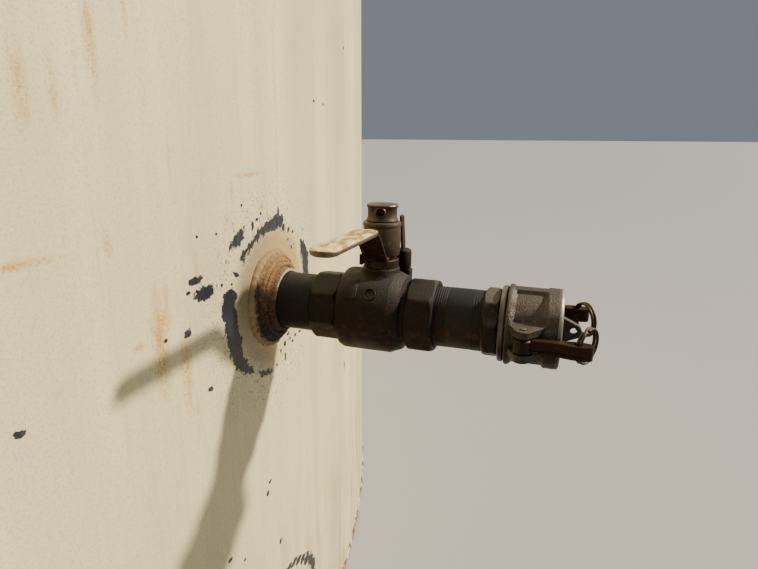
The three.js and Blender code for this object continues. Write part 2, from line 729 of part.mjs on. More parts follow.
function addCamArm(outlet, side) {
  const frame = new THREE.Group();
  frame.applyMatrix4(camFrame(side));
  outlet.add(frame);
  const half = CAM.armWidth / 2;
  const hub = moved(rodY(CAM.hub, -half, half), CAM.pivotX, 0, CAM.pivotR);
  const nose = block(
    CAM.pivotX - CAM.noseHalf, CAM.pivotX + CAM.noseHalf, -half, half,
    CAM.pivotR - CAM.nose, CAM.pivotR);
  const bar = block(CAM.pivotX, CAM.armTip, -half, half, CAM.armLow, CAM.armHigh);
  const bore = moved(rodY(CAM.pin + GAP, -half - 1, half + 1), CAM.pivotX, 0, CAM.pivotR);
  const ringZ = (CAM.armLow + CAM.armHigh) / 2;
  const tip = moved(rodY(RING.boss, -half, half), CAM.ringAt, 0, ringZ);
  const ringHole = moved(rodY(RING.hole, -half - 1, half + 1), CAM.ringAt, 0, ringZ);
  const arm = hub.add(nose).add(bar).add(tip).subtract(bore).subtract(ringHole);
  piece(frame, `cam_arm_${side}`, arm, RUST);

  const pinHalf = CAM.earTo + CAM.pinPast;
  const pin = moved(rodY(CAM.pin, -pinHalf, pinHalf), CAM.pivotX, 0, CAM.pivotR);
  piece(frame, `cam_pin_${side}`, pin, STEEL);

  const ring = solid(new THREE.TorusGeometry(RING.radius, RING.wire, 6, 20));
  const lay = new THREE.Matrix4()
    .makeTranslation(CAM.ringAt, 0, ringZ)
    .multiply(new THREE.Matrix4().makeRotationY(rad(RING.fold)))
    .multiply(new THREE.Matrix4().makeTranslation(RING.radius, 0, 0));
  piece(frame, `pull_ring_${side}`, placed(ring, lay), STEEL);
}

// Drain

function addDrain(drain) {
  const shell = shellSeenFrom(drainFrame);
  const socket = DRAIN.pipe + GAP;
  const spud = tubeX(socket, DRAIN.spud, -6, 16).subtract(shell);
  piece(drain, 'drain_spud', spud, RUST);
  const nippleEnd = DRAIN.valveFrom + DRAIN.socketDepth - 1;
  piece(drain, 'drain_nipple', tubeX(DRAIN.bore, DRAIN.pipe, -DRAIN.inside, nippleEnd), IRON);
  const bonnet = moved(rodZ(DRAIN.bonnet, 0, DRAIN.bonnetTop), DRAIN.stemAt, 0, 0);
  const body = prismX(8, DRAIN.flats, DRAIN.valveFrom, DRAIN.valveTo).add(bonnet);
  const inlet = rodX(socket, DRAIN.valveFrom - 1, DRAIN.valveFrom + DRAIN.socketDepth);
  const mouth = rodX(socket, DRAIN.valveTo - DRAIN.socketDepth - 1, DRAIN.valveTo + 1);
  const stemHole = moved(rodZ(DRAIN.stem + GAP, DRAIN.stemFoot - 1, DRAIN.bonnetTop + 1), DRAIN.stemAt, 0, 0);
  piece(drain, 'drain_valve', body.subtract(inlet).subtract(mouth).subtract(stemHole), IRON);
  const headFrom = DRAIN.valveTo + DRAIN.plugHead;
  const plug = rodX(DRAIN.pipe, DRAIN.valveTo - DRAIN.socketDepth, headFrom)
    .add(prismX(6, DRAIN.plugFlats, headFrom, DRAIN.plugTo));
  piece(drain, 'drain_plug', plug, RUST);
  const leverTop = DRAIN.leverHeight + DRAIN.leverPlate;
  const stem = rodZ(DRAIN.stem, DRAIN.stemFoot, leverTop + DRAIN.leverPlate);
  const half = DRAIN.leverHalf;
  const plate = block(-half, half, -DRAIN.leverReach, half, DRAIN.leverHeight, leverTop);
  piece(drain, 'drain_lever', moved(stem.add(plate), DRAIN.stemAt, 0, 0), RUST);
}

// Assembly

const tank = new THREE.Group();
tank.name = 'storage_tank';
addShell(tank);
addRoof(tank);
addLug(tank, 'lug_near', LUG.angle);
addLug(tank, 'lug_far', LUG.angle + 180);

const outlet = new THREE.Group();
outlet.applyMatrix4(outletFrame);
tank.add(outlet);
addSpud(outlet);
addValve(outlet);
addLever(outlet);
addCoupling(outlet);
addCap(outlet);
addCamArm(outlet, 'near');
addCamArm(outlet, 'far');

const drain = new THREE.Group();
drain.applyMatrix4(drainFrame);
tank.add(drain);
addDrain(drain);

export default tank;
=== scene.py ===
"""The looks of an upright steel storage tank with a capped ball-valve outlet, round its fixed frame.

The classes work in millimetres of their own place on the tank, and publish() turns them to metres in
the scene. A place is read from the frame: the stem's axis gives the outlet's, the drain handle's axis
gives the drain's. Angles round the outlet, called turns, start at the top and run towards the side
that the lever points to when the valve is shut.
"""

import json
import logging
import math
from collections.abc import Sequence
from dataclasses import dataclass
from enum import Enum

import bpy
import numpy as np
from mathutils import Matrix, Vector


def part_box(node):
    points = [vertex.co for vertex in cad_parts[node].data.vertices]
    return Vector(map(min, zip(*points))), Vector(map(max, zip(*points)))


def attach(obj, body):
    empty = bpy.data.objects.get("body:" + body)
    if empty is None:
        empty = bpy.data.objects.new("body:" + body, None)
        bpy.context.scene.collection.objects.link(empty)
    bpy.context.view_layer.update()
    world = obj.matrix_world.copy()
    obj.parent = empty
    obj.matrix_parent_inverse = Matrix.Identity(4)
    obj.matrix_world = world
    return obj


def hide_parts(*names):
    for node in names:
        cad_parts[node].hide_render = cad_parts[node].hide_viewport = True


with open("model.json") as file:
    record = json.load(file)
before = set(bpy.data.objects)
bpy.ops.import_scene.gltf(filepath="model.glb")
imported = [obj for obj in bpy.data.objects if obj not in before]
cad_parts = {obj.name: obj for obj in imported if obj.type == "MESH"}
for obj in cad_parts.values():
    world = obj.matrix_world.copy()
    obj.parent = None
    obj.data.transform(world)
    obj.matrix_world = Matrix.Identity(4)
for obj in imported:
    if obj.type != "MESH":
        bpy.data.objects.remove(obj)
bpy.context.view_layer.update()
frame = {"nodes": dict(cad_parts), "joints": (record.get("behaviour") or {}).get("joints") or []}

log = logging.getLogger("tank")
MM = 0.001

# Two measures, a measure that may differ from turn to turn, and what a form is turned from.
Pair = tuple[float, float]
Radius = float | np.ndarray
Profile = list[tuple[Radius, Radius]]


class Body(Enum):
    """The frame's moving bodies that a piece can ride on."""

    TANK = "tank"
    LEVER = "lever"
    CAM_NEAR = "cam_near"
    CAM_FAR = "cam_far"
    RING_NEAR = "ring_near"
    RING_FAR = "ring_far"
    DRAIN_HANDLE = "drain_handle"


class Side(Enum):
    """The cam arm on the lever's shut side and the one beyond the cap; also a fitting's two ends."""

    NEAR = "near"
    FAR = "far"


# Places and sizes read from the frame


@dataclass(frozen=True)
class Span:
    """The lowest and highest corner of a node in millimetres of one place."""

    low: Vector
    high: Vector

    @property
    def middle(self) -> Vector:
        """The point halfway between the two."""
        return (self.low + self.high) / 2

    @property
    def half(self) -> Vector:
        """Half the extent along each axis."""
        return (self.high - self.low) / 2


class Place:
    """A local frame on the tank, in millimetres."""

    def __init__(self, origin: Vector, x_axis: Vector, z_axis: Vector) -> None:
        """Sets the frame.

        Args:
            origin: its origin in metres.
            x_axis: its X direction.
            z_axis: its Z direction.
        """
        self.turn = Matrix((x_axis, z_axis.cross(x_axis), z_axis)).transposed().to_4x4()
        self.matrix = Matrix.Translation(origin) @ self.turn @ Matrix.Scale(MM, 4)

    def corners(self, node: str) -> np.ndarray:
        """The points of a frame node, in millimetres here."""
        inverse = self.matrix.inverted()
        return np.array([inverse @ v.co for v in frame["nodes"][node].data.vertices])

    def span(self, node: str) -> Span:
        """The extent of a frame node, in millimetres here."""
        corners = self.corners(node)
        return Span(Vector(corners.min(0)), Vector(corners.max(0)))

    def reach(self, node: str) -> float:
        """How far a node reaches from this place's X axis, in millimetres."""
        corners = self.corners(node)
        return float(np.hypot(corners[:, 1], corners[:, 2]).max())

    def joint(self, name: str) -> Vector:
        """The point on a joint's axis, in millimetres here."""
        return self.matrix.inverted() @ Vector(JOINTS[name]["pos_m"])

    def shifted(self, x: float, y: float, z: float) -> "Place":
        """Another place with the same directions, its origin moved by millimetres here."""
        axes = self.turn.to_3x3()
        return Place(self.matrix @ Vector((x, y, z)), axes.col[0].copy(), axes.col[2].copy())

    def rolled(self, degrees: float) -> "Place":
        """The same place turned about its own X axis.

        Args:
            degrees: how far +Z leans towards -Y.

        Returns:
            The turned place.
        """
        axes = self.turn.to_3x3()
        roll = Matrix.Rotation(math.radians(degrees), 3, axes.col[0])
        return Place(self.matrix.translation, axes.col[0].copy(), roll @ axes.col[2])


JOINTS = {joint["name"]: joint for joint in frame["joints"]}
SHELL_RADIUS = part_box("bottom_plate")[1].x / MM
COURSES = ("lower", "middle", "upper")
WORLD = Place(Vector((0, 0, 0)), Vector((1, 0, 0)), Vector((0, 0, 1)))


def outlet_place() -> Place:
    """The outlet's frame: X out along the pipe from the shell's face, Z along the valve's stem.

    Returns:
        The frame.
    """
    stem = JOINTS["lever_turn"]
    z_axis = Vector(stem["axis"])
    x_axis = Vector((z_axis.z, 0, -z_axis.x))
    point = Vector(stem["pos_m"])
    return Place(point + x_axis * ((SHELL_RADIUS * MM - point.x) / x_axis.x), x_axis, z_axis)


OUTLET = outlet_place()
OUTLET_HEIGHT = OUTLET.matrix.translation.z / MM
STEM_AT = OUTLET.joint("lever_turn").x
STEM = OUTLET.shifted(STEM_AT, 0, 0)
DRAIN_HEIGHT = JOINTS["drain_turn"]["pos_m"][2] / MM
DRAIN = WORLD.shifted(SHELL_RADIUS, 0, DRAIN_HEIGHT)


def cam_place(side: Side) -> Place:
    """The outlet's frame rolled so that +Z points out through one cam arm."""
    pivot = OUTLET.joint(f"cam_{side.value}_open")
    return OUTLET.rolled(math.degrees(math.atan2(-pivot.y, pivot.z)))


# Forms


@dataclass
class Form:
    """A closed mesh in the making: points in millimetres and faces that index them."""

    points: np.ndarray
    faces: list[tuple[int, ...]]

    def __add__(self, other: "Form") -> "Form":
        """Both forms in one mesh, side by side.

        Args:
            other: the second form.

        Returns:
            The mesh of both.
        """
        shift = len(self.points)
        faces = self.faces + [tuple(i + shift for i in face) for face in other.faces]
        return Form(np.vstack([self.points, other.points]), faces)

    def moved(self, matrix: Matrix) -> "Form":
        """The form carried by a matrix in millimetres."""
        m = np.array(matrix.to_4x4())
        return Form(self.points @ m[:3, :3].T + m[:3, 3], self.faces)

    def at(self, x: float, y: float, z: float) -> "Form":
        """The form moved by a step in millimetres."""
        return Form(self.points + np.array([x, y, z]), self.faces)


def outward(form: Form) -> Form:
    """Turns a form's faces out, by the sign of its volume.

    Args:
        form: the form.

    Returns:
        The same form, or one with each face reversed.
    """
    corners = np.array([(face[0], j, k) for face in form.faces for j, k in zip(face[1:-1], face[2:])])
    a, b, c = (form.points[corners[:, i]] for i in range(3))
    if (a * np.cross(b, c)).sum() < 0:
        return Form(form.points, [tuple(reversed(face)) for face in form.faces])
    return form


def skin(rings: Sequence[np.ndarray], loop: bool = False) -> Form:
    """Joins closed rings of points into a solid.

    Args:
        rings: arrays of the same number of points, in order along the form.
        loop: whether the last ring joins the first; if not, both ends are closed flat.

    Returns:
        The solid.
    """
    count, size = len(rings), len(rings[0])
    faces: list[tuple[int, ...]] = []
    for i in range(count if loop else count - 1):
        a, b = i * size, (i + 1) % count * size
        for j in range(size):
            k = (j + 1) % size
            faces.append((a + j, a + k, b + k, b + j))
    if not loop:
        faces.append(tuple(reversed(range(size))))
        faces.append(tuple(range((count - 1) * size, count * size)))
    return outward(Form(np.vstack(rings), faces))


def angles(sides: int, start: float = 0.0) -> np.ndarray:
    """Evenly spaced turns in radians, the first at a start in degrees."""
    return np.radians(start) + np.arange(sides) * 2 * math.pi / sides


def turned(stations: Profile, turns: np.ndarray, loop: bool = False) -> Form:
    """A form turned about X.

    Args:
        stations: radius and station of each ring; either may be an array over the turns.
        turns: the angles of a ring's points, from the top towards -Y.
        loop: whether the profile closes on itself, as a tube's does.

    Returns:
        The form.
    """
    rings = []
    for radius, station in stations:
        r = np.broadcast_to(radius, turns.shape)
        x = np.broadcast_to(station, turns.shape)
        rings.append(np.stack([x, -r * np.sin(turns), r * np.cos(turns)], 1))
    return skin(rings, loop)


def spun(degrees: float, axis: str = "Z") -> Matrix:
    """A turn about one axis."""
    return Matrix.Rotation(math.radians(degrees), 4, axis)


# What is turned about X lies along Z after the first, and along Y after the second.
UPRIGHT = spun(-90, "Y")
ACROSS = spun(90)


def turned_up(stations: Profile, turns: np.ndarray, loop: bool = False) -> Form:
    """The same as turned(), about Z, with heights for stations."""
    return turned(stations, turns, loop).moved(UPRIGHT)


def rod(radius: float, low: float, high: float, edge: float = 0.4) -> Profile:
    """The open profile of a rod with both its ends broken at the edge."""
    return [(radius - edge, low), (radius, low + edge), (radius, high - edge), (radius - edge, high)]


def tube(inner: float, outer: float, low: float, high: float, edge: float = 0.4) -> Profile:
    """The closed profile of a tube with its outer edges broken."""
    return [(inner, low), *rod(outer, low, high, edge), (inner, high)]


def plate(outline: Sequence[Pair], low: float, high: float, axis: str = "Z") -> Form:
    """A flat outline given depth.

    Args:
        outline: its corners; (x, y) for Z, (x, z) for Y and (y, z) for X.
        low: the lower face along the axis.
        high: the upper face along the axis.
        axis: the axis that it is extruded along.

    Returns:
        The plate.
    """
    flat = np.array(outline, float)
    return skin([np.insert(flat, "XYZ".index(axis), level, axis=1) for level in (low, high)])


def block(x: Pair, y: Pair, z: Pair) -> Form:
    """A box between two corners."""
    return plate([(x[0], y[0]), (x[1], y[0]), (x[1], y[1]), (x[0], y[1])], *z)


def arc(centre: Pair, radius: float, start: float, end: float, steps: int = 16) -> list[Pair]:
    """Draws a flat arc.

    Args:
        centre: its middle.
        radius: its radius.
        start: its first angle in degrees.
        end: its last angle in degrees.
        steps: how many stretches it has.

    Returns:
        Its points.
    """
    return [
        (centre[0] + radius * math.cos(a), centre[1] + radius * math.sin(a))
        for a in np.radians(np.linspace(start, end, steps + 1))
    ]


def across_rod(radius: float, half: float, x: float, z: float, sides: int = 32, edge: float = 0.4) -> Form:
    """A rod that lies along Y, by its half length and the middle of its section."""
    return turned(rod(radius, -half, half, edge), angles(sides)).moved(ACROSS).at(x, 0, z)


def swept(path: np.ndarray, radius: float, sides: int) -> Form:
    """A round wire along a path of points, its section kept upright to the path.

    Args:
        path: the points of the wire's middle.
        radius: the wire's radius.
        sides: the sides of its section.

    Returns:
        The wire.
    """
    ahead = np.roll(path, -1, 0) - np.roll(path, 1, 0)
    ahead[0] = path[1] - path[0]
    ahead[-1] = path[-1] - path[-2]
    ahead /= np.linalg.norm(ahead, axis=1)[:, None]
    out = path - path.mean(0)
    out -= (out * ahead).sum(1)[:, None] * ahead
    out /= np.linalg.norm(out, axis=1)[:, None] + 1e-9
    across = np.cross(ahead, out)
    cos, sin = np.cos(angles(sides)), np.sin(angles(sides))
    return skin([p + radius * (np.outer(cos, o) + np.outer(sin, c)) for p, o, c in zip(path, out, across)])


def placed(name: str, data: bpy.types.ID) -> bpy.types.Object:
    """Puts a new object in the scene.

    Args:
        name: its name.
        data: its mesh, light or camera.

    Returns:
        The object.
    """
    item = bpy.data.objects.new(name, data)
    bpy.context.scene.collection.objects.link(item)
    return item


def pierced(base: Form, tool: Form) -> Form:
    """A form with another one cut out of it.

    Args:
        base: the form that is kept.
        tool: the form that is cut away.

    Returns:
        What is left.
    """
    objects = [placed("form", mesh_of(form, Matrix.Identity(4))) for form in (base, tool)]
    cut = objects[0].modifiers.new("cut", "BOOLEAN")
    cut.operation = "DIFFERENCE"
    cut.solver = "EXACT"
    cut.use_self = True
    cut.object = objects[1]
    graph = bpy.context.evaluated_depsgraph_get()
    mesh = bpy.data.meshes.new_from_object(objects[0].evaluated_get(graph))
    points = np.array([v.co for v in mesh.vertices])
    faces = [tuple(p.vertices) for p in mesh.polygons]
    for item in objects:
        old = item.data
        bpy.data.objects.remove(item)
        bpy.data.meshes.remove(old)
    bpy.data.meshes.remove(mesh)
    return Form(points, faces)


def mesh_of(form: Form, matrix: Matrix) -> bpy.types.Mesh:
    """Makes a Blender mesh.

    Args:
        form: its points and faces.
        matrix: what its points are carried by.

    Returns:
        The mesh.
    """
    shown = form.moved(matrix)
    mesh = bpy.data.meshes.new("form")
    mesh.from_pydata(shown.points.tolist(), [], shown.faces)
    mesh.update()
    return mesh


def waves(turns: np.ndarray, seed: int, lowest: int, count: int) -> np.ndarray:
    """A smooth uneven wave round a circle, within about -1 to 1.

    Args:
        turns: the angles in radians.
        seed: picks one wave of many.
        lowest: the fewest waves round the circle.
        count: how many harmonics are summed.

    Returns:
        Its value at each angle.
    """
    draw = np.random.RandomState(seed)
    total = np.zeros_like(turns, float)
    for k in range(count):
        total += np.sin((lowest + k) * turns + draw.uniform(0, 2 * math.pi)) / (1 + 0.3 * k)
    return total / math.sqrt(count)


# Materials

Socket = bpy.types.NodeSocket


def linear(colour: str) -> tuple[float, float, float, float]:
    """Turns an sRGB hex colour to linear light.

    Args:
        colour: its six hex digits.

    Returns:
        The light, with full alpha.
    """
    parts = [int(colour[i : i + 2], 16) / 255 for i in (0, 2, 4)]
    light = [p / 12.92 if p <= 0.04045 else ((p + 0.055) / 1.055) ** 2.4 for p in parts]
    return (*light, 1.0)


class Graph:
    """A material's nodes, and the patterns that the finishes are built from."""

    def __init__(self, name: str) -> None:
        """Makes a plain material.

        Args:
            name: its name.
        """
        self.material = bpy.data.materials.new(name)
        self.material.use_nodes = True
        self.tree = self.material.node_tree

    def add(self, kind: str, inputs: Sequence | dict, out: int | str = 0, **settings: object) -> Socket:
        """Adds a node.

        Args:
            kind: its type, without the ShaderNode in front.
            inputs: values or sockets, in order or by name.
            out: which of its outputs is wanted.
            **settings: its own properties.

        Returns:
            That output.
        """
        node = self.tree.nodes.new("ShaderNode" + kind)
        for name, value in settings.items():
            setattr(node, name, value)
        self.give(node, inputs if isinstance(inputs, dict) else dict(enumerate(inputs)))
        return node.outputs[out]

    def give(self, node: bpy.types.Node, inputs: dict) -> None:
        """Links the sockets among some inputs to a node, and sets the values on its own sockets.

        Args:
            node: the node.
            inputs: a socket or a value for each of its inputs that is given.
        """
        for key, value in inputs.items():
            if isinstance(value, Socket):
                self.tree.links.new(value, node.inputs[key])
            else:
                node.inputs[key].default_value = value

    def shade(self, **inputs: Socket | tuple | float) -> None:
        """Gives the shader its inputs, with a low line in a name for each space."""
        shader = self.tree.nodes["Principled BSDF"]
        self.give(shader, {name.replace("_", " "): value for name, value in inputs.items()})

    def grain(self, size: float, detail: float, stretch: tuple = (1, 1, 1), rough: float = 0.55) -> Socket:
        """Cloudy grain of one size.

        Args:
            size: the width of a typical blot in millimetres.
            detail: the octaves under it.
            stretch: how far it is drawn out along each axis.
            rough: how strong the finer octaves are.

        Returns:
            A value from 0 to 1, about 0.5 on average.
        """
        place = self.add("TexCoord", (), "Object")
        scale = [1 / (size * MM * s) for s in stretch]
        scaled = self.add("Mapping", {"Vector": place, "Scale": scale})
        inputs = {"Vector": scaled, "Scale": 1.0, "Detail": detail, "Roughness": rough}
        return self.add("TexNoise", inputs, "Fac")

    def band(self, value: Socket, low: float, high: float, start: float = 0.0, end: float = 1.0) -> Socket:
        """A value eased from one level to another between two thresholds."""
        return self.add("MapRange", (value, low, high, start, end), interpolation_type="SMOOTHSTEP")

    def layered(self, ground: Socket | tuple, coats: Sequence[tuple[Socket, object]]) -> Socket:
        """Lays colours over each other.

        Args:
            ground: the lowest colour.
            coats: each higher coat's cover, from 0 to 1, and its colour.

        Returns:
            The colour that is seen.
        """
        for cover, colour in coats:
            ground = self.add("Mix", {0: cover, 6: ground, 7: colour}, 2, data_type="RGBA")
        return ground

    def product(self, *values: Socket | float) -> Socket:
        """Multiplies values together.

        Args:
            *values: the values.

        Returns:
            Their product.
        """
        total = values[0]
        for value in values[1:]:
            total = self.add("Math", (total, value), operation="MULTIPLY")
        return total

    def highest(self, *values: Socket) -> Socket:
        """Compares values.

        Args:
            *values: the values.

        Returns:
            The highest of them.
        """
        top = values[0]
        for value in values[1:]:
            top = self.add("Math", (top, value), operation="MAXIMUM")
        return top

    def scaled_sum(self, value: Socket, factor: float, other: Socket | float) -> Socket:
        """A value times a factor, plus another value."""
        return self.add("Math", (value, factor, other), operation="MULTIPLY_ADD")

    def turned_flat(self, along: Socket, over: Socket, lean: float) -> Socket:
        """The place on the unrolled shell, in axes that lean.

        Args:
            along: the place's measure round the shell.
            over: its height over the outlet.
            lean: how far the axes lean, in degrees.

        Returns:
            The place in those axes.
        """
        c, s = math.cos(math.radians(lean)), math.sin(math.radians(lean))
        first = self.scaled_sum(along, c, self.product(over, s))
        second = self.scaled_sum(along, -s, self.product(over, c))
        return self.add("CombineXYZ", (first, second))

    def distance(self, flat: Socket, centre: Vector, half: Pair) -> Socket:
        """How far a flat place lies from the middle of an oval.

        Args:
            flat: the place.
            centre: the oval's middle.
            half: its half width and half height.

        Returns:
            The distance, which is 1 on the oval's edge.
        """
        scale = (1 / half[0], 1 / half[1], 0)
        shift = (-centre.x / half[0], -centre.y / half[1], 0)
        local = self.add("VectorMath", (flat, scale, shift), operation="MULTIPLY_ADD")
        return self.add("VectorMath", (local,), "Value", operation="LENGTH")

    def facing(self) -> Socket:
        """How far the surface faces up, from -1 to 1."""
        return self.add("SeparateXYZ", (self.add("TexCoord", (), "Normal"),), "Z")

    def relief(self, height: Socket, depth: float, under: Socket | None = None) -> Socket:
        """A bump of a real depth.

        Args:
            height: its pattern, from 0 to 1.
            depth: what 1 stands for, in millimetres.
            under: another bump that it lies over, if there is one.

        Returns:
            The bumped normal.
        """
        inputs = {"Height": height, "Distance": depth * MM, "Strength": 1.0}
        if under is not None:
            inputs["Normal"] = under
        return self.add("Bump", inputs)


@dataclass(frozen=True)
class Finish:
    """A surface: what it is made of and how it was worked, as procedural nodes."""

    slot: str
    name: str

    def material(self) -> bpy.types.Material:
        """Makes the finish as a Blender material, once.

        Returns:
            The material.
        """
        known = bpy.data.materials.get(self.name)
        if known:
            return known
        g = Graph(self.name)
        self.dress(g)
        return g.material

    def dress(self, g: Graph) -> None:
        """Builds the surface's nodes into the shader."""
        raise NotImplementedError


@dataclass(frozen=True)
class Chip:
    """A flake of paint gone from the shell, in millimetres round it and over the outlet."""

    along: float
    height: float
    half_long: float
    half_high: float
    lean: float = 0.0


@dataclass(frozen=True)
class RustRun:
    """A rust stain on the shell, in the same measures, and how strong it is."""

    along: float
    height: float
    half_long: float
    half_high: float
    strength: float


# Where the heat of welding lifted the paint round the outlet: the direction in degrees, anticlockwise
# from the side away from the lever, then the inner and outer edge of the bare band in millimetres.
FLAKED_BAND = (
    (0, 83, 101), (8, 83, 102), (15, 84, 106), (24, 84, 103), (33, 90, 95), (38, 94, 86), (66, 94, 86),
    (71, 77, 91), (80, 73, 90), (98, 72.5, 83), (116, 73, 81), (130, 75, 81.5), (138, 76, 83),
    (143, 90, 82), (147, 84, 80), (149, 75, 88), (152, 84, 80), (158, 88, 80), (161, 76, 92),
    (170, 74, 99), (180, 72, 94), (200, 71, 94), (206, 77, 94), (220, 78, 93), (233, 79, 86),
    (238, 84, 81), (245, 79, 85), (262, 79, 85), (268, 88, 80), (345, 92, 84), (360, 83, 101),
)

OUTLET_CHIPS = tuple(Chip(*row) for row in (
    (-63, 75, 14, 6.2, 30), (-36, 84, 2.6, 5), (-27, 89, 3, 1.6), (-19, 94, 2, 1.4), (-119, 36, 14, 6.8),
    (-131, 50, 9.5, 3.4), (-140, 41, 3, 1.6), (-94, 37, 2, 1.6), (-78, 34, 2, 1.4), (-145, 7, 5, 3.4),
    (-171, 9, 2, 1.6), (-121, -55, 4, 2.4), (-296, -11, 4.6, 2.4), (-54, 106, 2, 1.6),
    (-124, 87, 2.2, 1.5), (-97, 85, 1.6, 1.4), (-32, -223, 4, 3), (-26, -211, 3, 2.4),
    (-8, -305, 2.4, 3.4), (-110, -250, 3, 2.6), (-85, -269, 3, 2), (-4, -356, 9, 2.6),
    (12, -359, 10, 3.6), (26, -364, 10, 4.2), (40, -371, 10, 5), (53, -380, 10, 6.4), (66, -391, 10, 8),
    (79, -403, 9, 10), (89, -420, 8, 15), (92, -446, 6, 18), (84, -478, 5, 12), (-70, -497, 12, 5, 30),
    (-84, -462, 4, 16), (272, -190, 3.4, 7), (20, 91, 2.6, 6), (31, 73, 4, 4.6), (44, 68, 3, 3.6),
    (55, 64, 2.4, 2.4), (50, 47, 2, 3), (42, 57, 2, 1.8), (24, -78, 2, 5), (24, -62, 3, 3),
    (33, -53, 3.4, 2), (38, -60, 2.4, 2), (45, -66, 3, 1.6), (53, -61, 3, 1.8), (67, -61, 3.4, 1.6),
    (13, -67, 2, 2.4), (2, -80, 2, 2), (291, 294, 4, 2), (136, 212, 3, 2), (173, 210, 3, 1.6),
))

OUTLET_RUNS = tuple(RustRun(*row) for row in (
    (-177, 6, 11, 58, 1.0), (-175, 26, 15, 18, 0.9), (-150, -28, 9, 50, 0.8), (-166, 44, 5, 24, 0.5),
    (-199, 13, 7, 5, 0.9), (-212, 236, 7, 50, 0.8), (-181, 262, 4, 42, 0.6), (-264, 200, 8, 36, 0.7),
    (-243, 198, 5, 28, 0.6), (-300, 94, 56, 4.5, 1.0), (-37, 134, 36, 3.5, 0.8), (-69, 120, 4, 18, 0.6),
    (-62, -55, 4, 24, 0.5), (-216, 96, 6, 14, 0.5), (-206, 282, 3, 26, 0.8), (-176, 300, 4, 30, 0.7),
    (-290, 226, 9, 16, 0.8), (-262, 262, 5, 40, 0.5), (-150, 150, 3, 40, 0.4), (-140, -70, 4, 30, 0.6),
    (-128, 60, 5, 22, 0.5), (-96, -24, 3, 20, 0.4),
))

# Bare flakes round a lug: the middle's two measures from the lug, then the half width and half height.
LUG_FLAKES = (
    (-118, 30, 34, 74), (96, -40, 46, 66), (10, -186, 70, 30), (-60, 176, 56, 22), (120, 120, 22, 34),
)


